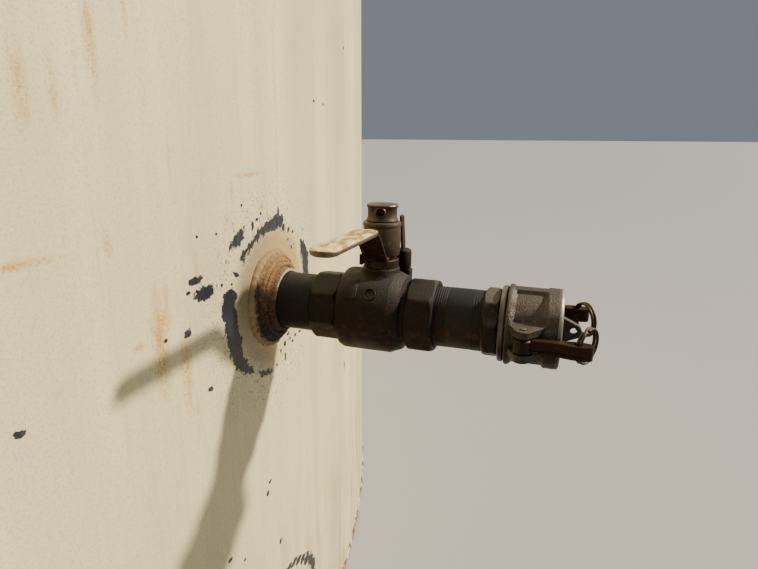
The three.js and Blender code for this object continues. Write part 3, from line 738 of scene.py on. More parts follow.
@dataclass(frozen=True)
class ShellEnamel(Finish):
    """Alkyd enamel rolled over a blue-grey primer on plate steel, years in the weather.

    Enamel is a smooth dielectric that has chalked, so its shine is broad. Rust bleeds out of the seams
    and chips and runs down, and soil splashed up from the ground tints the lowest part. The roller's
    stipple is a millimetre wide and is drawn nearly twice as coarse, to show.
    """

    chips: tuple[Chip, ...] = ()
    runs: tuple[RustRun, ...] = ()
    outlet: bool = False
    primer: str = "1D1F26"
    primer_light: str = "33353B"
    light: str = "E8DEAA"
    middle: str = "D3C89B"
    grey: str = "AFAB92"
    scorch_near: str = "88775A"
    scorch_far: str = "AF8E4F"
    rust: str = "BC8A0A"
    rust_dark: str = "7A4224"
    soil: str = "9C8454"
    roughness: float = 0.46
    streak_width: float = 7.0
    peel_size: float = 1.9
    peel_depth: float = 0.2
    film: float = 0.35

    def dress(self, g: Graph) -> None:
        """Builds the enamel, its chips, its stains and its dirt.

        Args:
            g: the material's nodes.
        """
        place = g.add("TexCoord", (), "Object")
        x, y, z = (g.add("SeparateXYZ", (place,), axis) for axis in "XYZ")
        along = g.product(g.add("Math", (y, x), operation="ARCTAN2"), SHELL_RADIUS)
        high = g.product(z, 1 / MM)
        over = g.add("Math", (high, -OUTLET_HEIGHT), operation="ADD")
        flat = g.add("CombineXYZ", (along, over))

        streak = g.grain(self.streak_width, 3, (1, 1, 40), 0.6)
        wide = g.grain(70, 4, (1, 1, 9))
        broken = g.grain(5, 4, (1, 1, 5), 0.7)
        fine = g.grain(self.peel_size, 2)
        ground = g.layered(linear(self.middle), [
            (g.band(wide, 0.3, 0.8), linear(self.light)),
            (g.product(g.band(streak, 0.5, 0.74), 0.22), linear(self.grey)),
            (g.product(g.band(g.grain(170, 6), 0.5, 0.8), 0.5), linear(self.grey)),
            (g.product(g.band(fine, 0.48, 0.66), 0.45), linear(self.grey)),
        ])
        drip = g.grain(16, 4, (1, 1, 24), 0.65)
        faint = g.product(g.band(drip, 0.58, 0.76), g.band(wide, 0.5, 0.6), 0.4)
        runs = g.highest(faint, self.seam_rust(g, high, drip))
        for run in self.runs:
            near = g.distance(flat, Vector((run.along, run.height)), (run.half_long, run.half_high))
            runs = g.highest(runs, g.scaled_sum(near, -1.5 * run.strength, 1.5 * run.strength))
        patchy = g.highest(g.product(g.band(broken, 0.28, 0.62), 0.7), g.band(fine, 0.5, 0.62))
        rusted = g.product(runs, patchy, 0.95)
        spots = g.product(g.band(fine, 0.72, 0.78), g.band(wide, 0.5, 0.66), 0.6)
        soil = g.product(g.band(high, 420, 0), g.band(g.grain(30, 6, (1, 1, 5)), 0.3, 0.66), 0.65)
        coats = [(rusted, linear(self.rust)), (spots, linear(self.rust_dark)), (soil, linear(self.soil))]
        bare, scorch = self.flaked(g, flat, along, over, fine)
        if self.outlet:
            # The scorch is greyer and darker on the side away from the key light and sandier on the lit
            # side: burnt paint, with painted shade and painted light.
            tint = g.layered(linear(self.scorch_near), [(g.band(along, -45, 30), linear(self.scorch_far))])
            coats.append((scorch, tint))
        primer = g.layered(linear(self.primer), [(g.band(broken, 0.45, 0.7), linear(self.primer_light))])
        colour = g.layered(ground, [*coats, (bare, primer)] if bare is not None else coats)

        normal = g.relief(fine, self.peel_depth)
        if bare is not None:
            normal = g.relief(g.add("Math", (1.0, bare), operation="SUBTRACT"), self.film, normal)
        dull = g.band(wide, 0.3, 0.7, self.roughness - 0.06, self.roughness + 0.14)
        g.shade(Base_Color=colour, Normal=normal, Roughness=dull)

    def seam_rust(self, g: Graph, high: Socket, drip: Socket) -> Socket:
        """Rust that bleeds from the girth seams and the roof's edge and runs down below them.

        Args:
            g: the material's nodes.
            high: the height over the ground in millimetres.
            drip: the grain of narrow drips.

        Returns:
            Its cover.
        """
        levels = [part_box(f"girth_weld_{course}")[1].z / MM for course in COURSES[1:]]
        levels.append(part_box("top_angle")[1].z / MM)
        patchy = g.grain(240, 3)
        covers = []
        for level in levels:
            below = g.scaled_sum(high, -1.0, level)
            seam = g.product(g.band(below, -12, 2), g.band(below, 60, 10), 0.95)
            run = g.product(g.band(below, 640, 20), g.band(below, -4, 12), g.band(drip, 0.45, 0.58))
            covers += [seam, run]
        return g.product(g.highest(*covers), g.band(patchy, 0.3, 0.5))

    def flaked(self, g: Graph, flat: Socket, along: Socket, over: Socket,
               fine: Socket) -> tuple[Socket | None, Socket | None]:
        """The cover of bare primer and the cover of scorch round the outlet.

        Args:
            g: the material's nodes.
            flat: the place on the unrolled shell.
            along: the same place's measure round the shell.
            over: its height over the outlet.
            fine: the finest grain.

        Returns:
            Both covers, or nothing for one that this plate doesn't have.
        """
        if not self.chips:
            return None, None
        jag = g.add("Math", (g.grain(6, 5, rough=0.72), -0.5), operation="ADD")
        leaning = {lean: g.turned_flat(along, over, lean) for lean in {chip.lean for chip in self.chips}}
        nearest = None
        for chip in self.chips:
            centre = Matrix.Rotation(math.radians(-chip.lean), 2) @ Vector((chip.along, chip.height))
            far = g.distance(leaning[chip.lean], centre, (chip.half_long, chip.half_high))
            nearest = far if nearest is None else g.add("Math", (nearest, far), operation="MINIMUM")
        bare = g.band(g.scaled_sum(jag, 2.4, nearest), 1.06, 0.94)
        if not self.outlet:
            return bare, None
        reach = g.add("VectorMath", (flat,), "Value", operation="LENGTH")
        ragged = g.scaled_sum(jag, 22.0, reach)
        turn = g.add("Math", (over, along), operation="ARCTAN2")
        share = g.product(g.add("Math", (turn, 2 * math.pi, 0.0), operation="WRAP"), 1 / (2 * math.pi))
        inner, outer = (self.edge(g, share, column) for column in (1, 2))
        past_inner = g.add("Math", (ragged, inner), operation="SUBTRACT")
        to_outer = g.add("Math", (outer, ragged), operation="SUBTRACT")
        ring = g.band(g.add("Math", (past_inner, to_outer), operation="MINIMUM"), -0.3, 0.5)
        specks = g.highest(g.band(fine, 0.63, 0.69), g.band(jag, 0.12, 0.16))
        pepper = g.product(specks, g.band(reach, 150, 96), g.band(reach, 56, 72), 0.9)
        faint = g.highest(g.band(over, -50, 0, 0.35, 1.0), g.band(along, 30, -20))
        scorch = g.product(g.band(ragged, 92, 62), g.band(fine, 0.8, 0.4, 0.6, 0.95), faint)
        return g.highest(bare, ring, pepper), scorch

    @staticmethod
    def edge(g: Graph, share: Socket, column: int) -> Socket:
        """One edge of the bare band as a curve over the share of a turn.

        Args:
            g: the material's nodes.
            share: the direction from the outlet, as a share of a full turn.
            column: which column of the band's table.

        Returns:
            The edge's distance in millimetres.
        """
        reach = 120.0
        curve = g.add("FloatCurve", {"Value": share})
        points = curve.node.mapping.curves[0].points
        spots = [(row[0] / 360, row[column] / reach) for row in FLAKED_BAND]
        points[0].location, points[1].location = spots[0], spots[-1]
        for spot in spots[1:-1]:
            points.new(*spot)
        for point in points:
            point.handle_type = "VECTOR"
        curve.node.mapping.update()
        return g.product(curve, reach)


@dataclass(frozen=True)
class RustedSteel(Finish):
    """Mild steel left outdoors: brown oxide over a darker scale.

    Rust is an earthy dielectric, so it has no metal shine. It shows as fine pitted grain with lighter
    powdery spots, darker underneath, and with old paint left on it in places. Its pits are half a
    millimetre wide, too fine to show, so they are drawn at about two.
    """

    scale: str = "3E2B20"
    oxide: str = "75492F"
    powder: str = "A47B52"
    paint: str = "CDBD96"
    paint_left: float = 0.0
    pit_size: float = 1.8
    pit_depth: float = 0.6
    roughness: float = 0.88

    def dress(self, g: Graph) -> None:
        """Builds the oxide, the powder and the paint that is left.

        Args:
            g: the material's nodes.
        """
        fine, broad = g.grain(self.pit_size, 5, rough=0.7), g.grain(22, 5)
        colour = g.layered(linear(self.scale), [
            (g.band(broad, 0.36, 0.6), linear(self.oxide)),
            (g.product(g.band(fine, 0.48, 0.72), 0.75), linear(self.powder)),
        ])
        if self.paint_left:
            left = g.band(g.grain(16, 6, rough=0.65), 0.75 - self.paint_left, 0.79 - self.paint_left)
            colour = g.layered(colour, [(left, linear(self.paint))])
        normal = g.relief(fine, self.pit_depth, g.relief(broad, 0.8))
        g.shade(Base_Color=colour, Normal=normal, Roughness=self.roughness)


@dataclass(frozen=True)
class BurntWeld(RustedSteel):
    """Weld metal and heat-burnt collar round the outlet: bleached rust on top, dark below with oil and
    painted shade.

    The upper side is dusted with sand-coloured powder. The lower side is darkened by oily drips and by
    painted shade, which also darkens the groove inside the weld's toe there. Old cream paint is left on
    the collar's upper rim and on the toe of the weld.
    """

    soaked_and_shade: str = "1F120B"
    sand: str = "967243"
    collar: float = 32.9
    toe: float = 47.5
    burnt_paint: str = "958059"

    def dress(self, g: Graph) -> None:
        """Builds the rust by its height on the outlet, and the paint that is left.

        Args:
            g: the material's nodes.
        """
        place = g.add("TexCoord", (), "Object")
        across = g.product(g.add("SeparateXYZ", (place,), "Y"), 1 / MM)
        over = g.scaled_sum(g.add("SeparateXYZ", (place,), "Z"), 1 / MM, -OUTLET_HEIGHT)
        reach = g.add("VectorMath", (g.add("CombineXYZ", (across, over)),), "Value", operation="LENGTH")
        lump, fine = g.grain(6, 5, rough=0.7), g.grain(self.pit_size, 4, rough=0.7)
        level = g.scaled_sum(fine, 16.0, g.scaled_sum(lump, 22.0, over))
        rim = g.product(g.band(reach, self.collar + 0.6, self.collar - 0.4), g.band(level, 34, 50), 0.9)
        ragged = g.scaled_sum(lump, 8.0, reach)
        inner_half = g.band(ragged, self.toe, self.toe + 2.0)
        # A dark ring in the crease inside the weld's toe, on its lower side: painted shade.
        groove = g.product(inner_half, g.band(ragged, self.toe + 4.8, self.toe + 2.6))
        groove = g.product(groove, g.band(level, 76, 24), 0.75)
        toe = g.product(g.band(ragged, self.toe + 3.4, self.toe + 6.4), g.band(level, -70, 30, 0.5, 0.92))
        # Darker towards the bottom of the outlet: oily drips and painted shade.
        colour = g.layered(linear(self.soaked_and_shade), [
            (g.band(level, -24, 18), linear(self.scale)),
            (g.band(level, 10, 42), linear(self.oxide)),
            (g.product(g.band(level, 34, 66), g.band(lump, 0.25, 0.5), 0.95), linear(self.sand)),
            (g.product(g.band(fine, 0.5, 0.64), g.band(level, -10, 40), 0.6), linear(self.powder)),
            (g.product(g.band(fine, 0.5, 0.38), g.band(level, 20, 50), 0.55), linear(self.scale)),
            (groove, linear(self.soaked_and_shade)),
            (toe, linear(self.burnt_paint)),
            (rim, linear(self.paint)),
        ])
        normal = g.relief(fine, self.pit_depth, g.relief(lump, 0.8))
        g.shade(Base_Color=colour, Normal=normal, Roughness=self.roughness)


@dataclass(frozen=True)
class GrimySteel(Finish):
    """Metal fittings under years of oil and dust: pipe scale, cast skin, turned faces.

    The metal shows dull through a brown film. What faces up is lighter: dust, and a painted sheen of
    the sky. What faces down is dark: oily dirt, and painted shade. Handled spots are rubbed lighter.
    The part-metal value is the film's share. A sand casting's grain and the marks of a lathe are about
    0.4 mm wide and are drawn coarser, to show.
    """

    metal: str = "262320"
    film: str = "33271F"
    grime_and_shade: str = "1C0E06"
    # This colour stands for dust and for a painted sheen of the sky on what faces up.
    dust: str = "4C443B"
    stain: str = "4A2E1D"
    rubbed: str = "6A645C"
    rubbed_share: float = 0.3
    stain_share: float = 0.5
    dust_and_sheen_share: float = 0.6
    grain_size: float = 1.2
    grain_depth: float = 0.15
    metallic: float = 0.5
    roughness: float = 0.5
    shine: float = 0.14

    def dress(self, g: Graph) -> None:
        """Builds the metal, its film, dirt and painted shade below, dust and painted sheen on top, rubbed
        spots.

        Args:
            g: the material's nodes.
        """
        fine, broad = g.grain(self.grain_size, 4, rough=0.65), g.grain(24, 5)
        patch = g.grain(9, 5, rough=0.7)
        tilt = g.scaled_sum(broad, 0.9, g.facing())
        # Darker on what faces down: oily dirt and painted shade.
        under = g.band(tilt, 0.72, -0.1)
        stain = g.product(g.band(patch, 0.53, 0.68), g.band(tilt, 1.2, 0.2), self.stain_share)
        worn = g.product(g.band(patch, 0.44, 0.28), g.band(tilt, 0.1, 0.6), self.rubbed_share)
        colour = g.layered(linear(self.metal), [
            (g.product(g.band(broad, 0.36, 0.62), 0.8), linear(self.film)),
            (under, linear(self.grime_and_shade)),
            (stain, linear(self.stain)),
            (worn, linear(self.rubbed)),
            # Lighter and cooler on what faces up: dust, and a painted sheen of the sky.
            (g.product(g.band(tilt, 0.75, 1.35), self.dust_and_sheen_share), linear(self.dust)),
        ])
        dull = g.band(broad, 0.3, 0.7, self.roughness - 0.08, min(self.roughness + 0.2, 1.0))
        metallic = g.band(under, 0.8, 0.1, self.metallic * 0.5, self.metallic)
        normal = g.relief(fine, self.grain_depth, g.relief(broad, 0.3))
        g.shade(Base_Color=colour, Roughness=dull, Metallic=metallic, Normal=normal,
                Specular_IOR_Level=self.shine)


@dataclass(frozen=True)
class DippedVinyl(Finish):
    """PVC plastisol dipped over the lever: soft cream skin, scuffed and ground in with dirt.

    Vinyl is a dielectric with a satin shine. Handling leaves brown smears on top, and its edges and
    underside are darker: grease, and painted shade.
    """

    cream: str = "F0D898"
    dirt: str = "7E5A2E"
    deep: str = "2E1F14"

    def dress(self, g: Graph) -> None:
        """Builds the vinyl, its dirt and the painted shade on its edges and underside.

        Args:
            g: the material's nodes.
        """
        smear, fine = g.grain(8, 5, (1, 2.4, 1), 0.62), g.grain(2.0, 4)
        tilt = g.scaled_sum(smear, 0.7, g.facing())
        colour = g.layered(linear(self.cream), [
            (g.product(g.band(smear, 0.43, 0.6), 0.85), linear(self.dirt)),
            (g.product(g.band(fine, 0.58, 0.7), 0.5), linear(self.dirt)),
            # Edges and underside darkened by their facing: grease and painted shade.
            (g.product(g.band(tilt, 1.08, 0.5), 0.95), linear(self.deep)),
        ])
        normal = g.relief(fine, 0.12, g.relief(smear, 0.4))
        g.shade(Base_Color=colour, Normal=normal, Roughness=0.45, IOR=1.53)


def lug_chips(node: str) -> tuple[Chip, ...]:
    """The bare flakes round one lug.

    Args:
        node: the lug's node.

    Returns:
        The flakes.
    """
    middle = WORLD.span(node).middle
    along, over = math.atan2(middle.y, middle.x) * SHELL_RADIUS, middle.z - OUTLET_HEIGHT
    return tuple(Chip(along + a, over + h, long, high) for a, h, long, high in LUG_FLAKES)


# Enamel, rolled: cream with a broad shine. The front plate is burnt and flaked round the outlet.
PAINT = ShellEnamel("cream_paint", "weathered_enamel")
OUTLET_PAINT = ShellEnamel(
    "cream_paint", "weathered_enamel_front", (*OUTLET_CHIPS, *lug_chips("lug_far")), OUTLET_RUNS, True,
)
LUG_PAINT = ShellEnamel("cream_paint", "weathered_enamel_back", lug_chips("lug_near"))
PLATE_PAINT = {"shell_lower_front": OUTLET_PAINT, "shell_lower_back": LUG_PAINT}
# Weld metal painted over: rust comes through the cream paint on its ripples.
WELD = RustedSteel("stained_weld", "painted_weld", oxide="8A6340", powder="B8935F", paint_left=0.26)
# Weld metal left as welded and burnt: matt, sandy on top, and dark below with oily drips and painted
# shade.
BURNT_WELD = BurntWeld(
    "rusty_steel", "burnt_weld", paint="B2AA94", scale="332116", oxide="5C402A", powder="967548",
    pit_depth=0.7, pit_size=2.0,
)
# Mild steel, weathered: matt brown, with some of the old paint.
RUST = RustedSteel("rusty_steel", "rusted_steel", paint_left=0.2)
# Steel pipe with its mill scale: near black, with a soft cool shine.
PIPE = GrimySteel(
    "dark_steel", "pipe_scale", metal="242526", film="2A221C", dust="3A3C40", stain="3E2615",
    rubbed="2A2724", stain_share=0.7, grime_and_shade="150B05", metallic=0.3,
)
# Grey iron, sand cast: a rough brown-black skin that oil gives a low shine.
IRON = GrimySteel(
    "valve_iron", "cast_iron_skin", metal="26221F", film="2B211A", grime_and_shade="190C05", dust="4B4A47",
    stain="45291A", stain_share=0.6, grain_size=1.6, grain_depth=0.85, rubbed="463B30", rubbed_share=0.4,
)
# Turned steel under oil: dull brown, rubbed to metal in places.
GLAND = GrimySteel(
    "dull_steel", "oily_steel", metal="30251C", film="38291E", dust="54483B", rubbed="5A4C3E",
)
# Turned steel, stained by weather: warm grey with a soft metal shine.
STEM_STEEL = GrimySteel(
    "dull_steel", "stained_turned_steel", metal="594E43", film="4F4336", grime_and_shade="2E2118", dust="82776A",
    stain="4A2F20", rubbed="8C8272", rubbed_share=0.4, metallic=0.6, roughness=0.44,
)
# Pressed steel strap, rusted: dark brown and dull, a little lighter where it is handled.
STRAP_STEEL = GrimySteel(
    "rusty_steel", "rusted_strap", metal="2C1F18", film="37261B", dust="6A5642", stain="5A3A24",
    rubbed="8A7D6B", rubbed_share=0.15, metallic=0.35, roughness=0.6,
)
# Steel, ground and polished: bright as a mirror.
BALL = GrimySteel(
    "bright_steel", "polished_ball", metal="B8B6B0", film="A8A49B", grime_and_shade="8C8374", dust="B8B6B0",
    stain="8C8374", rubbed="C8C6C0", metallic=1.0, roughness=0.15, grain_depth=0.02,
)
# Aluminium, sand cast: a coarse grey skin with dark dirt lying in it, and painted shade on what faces
# down.
CAST_ALUMINIUM = GrimySteel(
    "cast_aluminium", "sand_cast_aluminium", metal="57524C", film="453E35", grime_and_shade="170B05", dust="65605A",
    stain="32281F", rubbed="8C8478", rubbed_share=0.6, stain_share=0.8, grain_size=1.9, grain_depth=1.1,
    metallic=0.6,
)
# The same casting on the cap's end rim: light, smooth and nearly clean where it is handled most, with a
# painted highlight on the edge.
RUBBED_AND_HIGHLIT_ALUMINIUM = GrimySteel(
    "cast_aluminium", "rubbed_and_highlit_aluminium", metal="8E897F", film="777168", grime_and_shade="241D17", dust="98938A",
    rubbed="B0AAA0", metallic=0.85, roughness=0.38,
)
# Turned aluminium, handled: light metal under a brown film.
RUBBED_SHOULDER = GrimySteel(
    "bright_aluminium", "rubbed_shoulder", metal="6C675F", film="514A40", grime_and_shade="1B0E07", dust="918C84",
    rubbed="A09A90", metallic=0.6, roughness=0.36,
)
# Turned aluminium, oiled: smooth and brown-black, with dust and a painted sheen on top.
TURNED_ALUMINIUM = GrimySteel(
    "bright_aluminium", "turned_aluminium", metal="2E2720", film="261D16", grime_and_shade="180B05", dust="77716A",
    stain="3A291B", rubbed="6C6456", dust_and_sheen_share=0.9, grain_size=0.8, grain_depth=0.08, metallic=0.6,
    roughness=0.42,
)
# Bronze, cast and tarnished: dark red-brown with a low metal shine.
BRONZE = GrimySteel(
    "arm_bronze", "tarnished_bronze", metal="2A1B12", film="2C1D13", grime_and_shade="180E08", dust="54402D",
    stain="3A2415", rubbed="5E452F", rubbed_share=0.5, metallic=0.6, roughness=0.4,
)
# Spring steel, drawn: a dull brown-grey wire.
RING_WIRE = GrimySteel(
    "ring_steel", "tarnished_wire", metal="453B30", film="382E24", grime_and_shade="1C1109", dust="665A4A",
    stain="33231A", rubbed="544A3F", roughness=0.45,
)
# PVC, dipped: soft cream with a satin shine.
VINYL = DippedVinyl("cream_grip", "dipped_vinyl")


# Publishing


def publish(form: Form, name: str, finish: Finish, place: Place, body: Body = Body.TANK,
            stands_for: Sequence[str] = (), edge: float = 0.0, crease: float = 32.0) -> None:
    """Puts a form into the scene as a piece of the object.

    Args:
        form: the form in millimetres of its place.
        name: the piece's name.
        finish: its surface.
        place: where its frame lies.
        body: the body that it rides on.
        stands_for: the frame's nodes that it takes the place of.
        edge: the width of a rounded edge in millimetres, or 0 for none.
        crease: the angle in degrees past which an edge stays sharp.
    """
    mesh = mesh_of(form, place.matrix)
    mesh.name = name
    piece = placed(name, mesh)
    mesh.shade_smooth()
    mesh.set_sharp_from_angle(angle=math.radians(crease))
    if edge:
        bevel = piece.modifiers.new("edge", "BEVEL")
        bevel.width = edge * MM
        bevel.segments = 2
        bevel.limit_method = "ANGLE"
        bevel.angle_limit = math.radians(crease)
    mesh.materials.append(finish.material())
    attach(piece, body.value)
    if stands_for:
        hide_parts(*stands_for)
    log.info("%s: %d faces on %s", name, len(mesh.polygons), body.value)


# Tank


@dataclass
class Shell:
    """The rolled plates, the welds between them and the foot."""

    step: float = 1.0
    rows: int = 12
    plate: float = 5.0
    seam_angles: tuple[float, ...] = (-50.0, -35.0, -65.0)
    bead_half: float = 6.5
    bead_height: float = 2.6
    bead_sunk: float = 0.8
    bead_root: float = 2.0
    ripple: float = 12.0
    seam_wander: float = 0.9
    fillet_sides: int = 720
    fillet_share: float = 1.3

    def build(self) -> None:
        """Builds every plate and weld."""
        for course, seam in zip(COURSES, self.seam_angles):
            for side, start in (("front", seam), ("back", seam + 180)):
                self.course_plate(f"shell_{course}_{side}", start)
            for k, name in enumerate(("front", "back")):
                self.upright_weld(f"upright_weld_{course}_{name}", course, seam + 180 * k)
        for course in COURSES[1:]:
            self.girth_weld(course)
        self.foot_weld()

    def course_plate(self, node: str, start: float) -> None:
        """Rolls one plate of half the tank's girth.

        Args:
            node: the frame's node.
            start: the angle of its first seam in degrees.
        """
        span = WORLD.span(node)
        outer = arc((0, 0), SHELL_RADIUS, start, start + 180, round(180 / self.step))
        inner = arc((0, 0), SHELL_RADIUS - self.plate, start + 180, start, round(180 / self.step))
        outline = np.array(outer + inner)
        levels = np.linspace(span.low.z, span.high.z, self.rows + 1)
        rings = [np.column_stack([outline, np.full(len(outline), z)]) for z in levels]
        publish(skin(rings), f"{node}_plate", PLATE_PAINT.get(node, PAINT), WORLD, stands_for=[node])

    def bead(self, along: np.ndarray, seed: int) -> np.ndarray:
        """The height of a weld bead, with the ripple of each stop of the rod.

        Args:
            along: the places along its length.
            seed: picks its slow rise and fall.

        Returns:
            Its height at each place.
        """
        steps = np.abs(((along / self.ripple) % 1.0) - 0.5) * 2
        slow = waves(along / 700.0, seed, 3, 5)
        return self.bead_height * (0.72 + 0.2 * steps + 0.14 * slow)

    def crown(self, tall: Radius, across: Radius) -> Radius:
        """The radius of a bead's round back, by its height and the share of its half width."""
        share = np.sqrt(np.clip(1 - across**2, 0, 1))
        return SHELL_RADIUS - self.bead_sunk + (tall + self.bead_sunk) * share

    def upright_weld(self, name: str, course: str, angle: float) -> None:
        """Lays the weld of one upright seam.

        Args:
            name: the piece's name.
            course: the course that it is in.
            angle: where it is, in degrees.
        """
        span = WORLD.span(f"shell_{course}_front")
        heights = np.arange(span.low.z + 2, span.high.z - 1, self.ripple / 2)
        tall = self.bead(heights, int(abs(angle)))
        across = np.linspace(-1, 1, 7)
        y = np.concatenate([across, across[::-1]]) * self.bead_half
        under = np.full(len(across), SHELL_RADIUS - self.bead_root)
        rings = []
        for z, h in zip(heights, tall):
            x = np.concatenate([self.crown(h, across), under])
            rings.append(np.stack([x, y, np.full(len(x), z)], 1))
        form = skin(rings).moved(spun(angle))
        publish(form, name, PAINT, WORLD, crease=60)

    def girth_weld(self, course: str) -> None:
        """Lays the weld between two courses.

        Args:
            course: the upper of the two.
        """
        node = f"girth_weld_{course}"
        turns = angles(round(2 * math.pi * SHELL_RADIUS / (self.ripple / 2) / 2) * 2)
        tall = self.bead(turns * SHELL_RADIUS, 7)
        middle = WORLD.span(node).middle.z + waves(turns, 11, 9, 6) * self.seam_wander
        root = SHELL_RADIUS - self.bead_root - 0.5
        stations = [(self.crown(tall, a), middle + a * self.bead_half) for a in np.linspace(-1, 1, 6)]
        stations += [(root, middle + self.bead_half), (root, middle - self.bead_half)]
        form = turned_up(stations, turns, loop=True)
        publish(form, f"{node}_bead", WELD, WORLD, stands_for=[node], crease=60)

    def foot_weld(self) -> None:
        """Lays the fillet where the shell stands on its bottom plate, and the plate itself."""
        span = WORLD.span("bottom_plate")
        turns = angles(self.fillet_sides)
        tall = self.bead(turns * SHELL_RADIUS, 23) * self.fillet_share
        root = SHELL_RADIUS - self.bead_root
        stations = [
            (SHELL_RADIUS + tall, span.low.z + 1.0), (SHELL_RADIUS + tall, span.high.z * 0.6),
            (SHELL_RADIUS + 0.6, span.high.z + tall), (root, span.high.z + tall),
            (root, span.low.z + 1.0),
        ]
        publish(turned_up(stations, turns, loop=True), "foot_weld", WELD, WORLD, crease=60)
        disc = turned_up(rod(SHELL_RADIUS, span.low.z, span.high.z, 0.8), angles(360))
        publish(disc, "bottom_disc", RUST, WORLD, stands_for=["bottom_plate"])


@dataclass
class Roof:
    """The coned roof with its rim, its hatch and its vent."""

    sides: int = 360
    seams: int = 8
    seam_half: float = 8.0
    seam_height: float = 3.0
    seam_start: float = 70.0
    seam_step: float = 14.0
    hatch_wall: float = 5.0
    pull_half: float = 70.0
    pull_rise: float = 38.0
    pull_wire: float = 7.0
    vent_wall: float = 6.0
    hood_plate: float = 4.0
    hood_deep: float = 64.0
    hood_skirt: float = 34.0
    hood_legs: int = 3

    def build(self) -> None:
        """Builds the roof and everything on it."""
        self.cone()
        self.rim()
        self.hatch()
        self.vent()

    def cone(self) -> None:
        """Builds the cone and the lap welds between its sheets."""
        span = WORLD.span("roof")
        points = WORLD.corners("roof")
        reach = np.hypot(points[:, 0], points[:, 1])
        rim_top = points[reach > reach.max() - 1][:, 2].max()
        level = points[np.abs(points[:, 2] - rim_top) < 0.5]
        knuckle = float(np.hypot(level[:, 0], level[:, 1]).min())
        edge = float(reach.max())
        top = float(level[:, 2].max())
        thick = top - span.low.z
        under = [(1.0, span.high.z - thick), (knuckle, span.low.z), (edge, span.low.z)]
        over = [(edge, top - 1), (edge - 1, top), (knuckle, top), (knuckle / 2, (top + span.high.z) / 2)]
        profile = under + over + [(1.0, span.high.z)]
        cone = turned_up(profile, angles(self.sides))
        publish(cone, "roof_cone", PAINT, WORLD, stands_for=["roof"], crease=40)
        slope = (span.high.z - top) / knuckle
        far = np.arange(self.seam_start, knuckle, self.seam_step)
        across = np.linspace(-1, 1, 5)
        y = np.concatenate([across, across[::-1]]) * self.seam_half
        back = np.sqrt(np.clip(1 - across**2, 0, 1))
        laps = []
        for k in range(self.seams):
            wobble = self.seam_height * (1 + 0.2 * waves(far / 300, k, 2, 4))
            rings = []
            for x, h in zip(far, wobble):
                z = span.high.z - slope * x
                ring_z = np.concatenate([z - 0.5 + h * back, np.full(len(across), z - 2)])
                rings.append(np.stack([np.full(len(y), x), y, ring_z], 1))
            laps.append(skin(rings).moved(spun(360 * (k + 0.5) / self.seams)))
        publish(sum(laps[1:], laps[0]), "roof_laps", WELD, WORLD, crease=40)

    def rim(self) -> None:
        """Rolls the rim bar under the roof's edge."""
        span = WORLD.span("top_angle")
        profile = tube(SHELL_RADIUS - 0.5, span.high.x, span.low.z, span.high.z, 1.2)
        form = turned_up(profile, angles(self.sides), loop=True)
        publish(form, "rim_bar", PAINT, WORLD, stands_for=["top_angle"])

    def hatch(self) -> None:
        """Builds the gauge hatch: its neck, its lid and a pull."""
        neck, lid = WORLD.span("hatch_neck"), WORLD.span("hatch_lid")
        x, y, wall = lid.middle.x, lid.middle.y, self.hatch_wall
        radius, lip = neck.half.x, lid.half.x
        turns = angles(96)
        ring = tube(radius - wall, radius, neck.low.z, neck.high.z)
        form = turned_up(ring, turns, loop=True).at(x, y, 0)
        publish(form, "hatch_ring", PAINT, WORLD, stands_for=["hatch_neck"])
        top = lid.high.z
        dome = turned_up([
            (lip - wall, neck.high.z + 0.3), (lip - wall, lid.low.z), (lip, lid.low.z), (lip, top - 13),
            (lip - 3, top - 10), (lip * 0.6, top - 4), (lip * 0.25, top - 0.5), (2.0, top),
        ], turns).at(x, y, 0)
        far, tall = self.pull_half, self.pull_rise
        half = [(far, -8), (far, tall - 8), (far - 10, tall)]
        pull = [(-along, 0, top + rise) for along, rise in half]
        pull += [(along, 0, top + rise) for along, rise in reversed(half)]
        dome += swept(np.array(pull, float), self.pull_wire, 12).at(x, y, 0)
        publish(dome, "hatch_cover", PAINT, WORLD, stands_for=["hatch_lid"])

    def vent(self) -> None:
        """Builds the vent's pipe and its hood."""
        pipe, hood = WORLD.span("vent_pipe"), WORLD.span("vent_cap")
        radius = pipe.high.x
        stack = tube(radius - self.vent_wall, radius, pipe.low.z, pipe.high.z)
        form = turned_up(stack, angles(64), loop=True)
        publish(form, "vent_stack", RUST, WORLD, stands_for=["vent_pipe"])
        reach, top, low = hood.high.y, hood.high.z, hood.high.z - self.hood_deep
        inner, skirt = reach - self.hood_plate, low + self.hood_skirt
        cover = turned_up([
            (2.0, top - self.hood_plate), (inner, skirt), (inner, low), (reach, low), (reach, skirt),
            (2.0, top),
        ], angles(64))
        leg = block((radius - 5, reach - 3), (-3, 3), (pipe.high.z + 0.3, skirt + 2))
        for k in range(self.hood_legs):
            cover += leg.moved(spun(360 * k / self.hood_legs))
        publish(cover, "vent_hood", RUST, WORLD, stands_for=["vent_cap"])


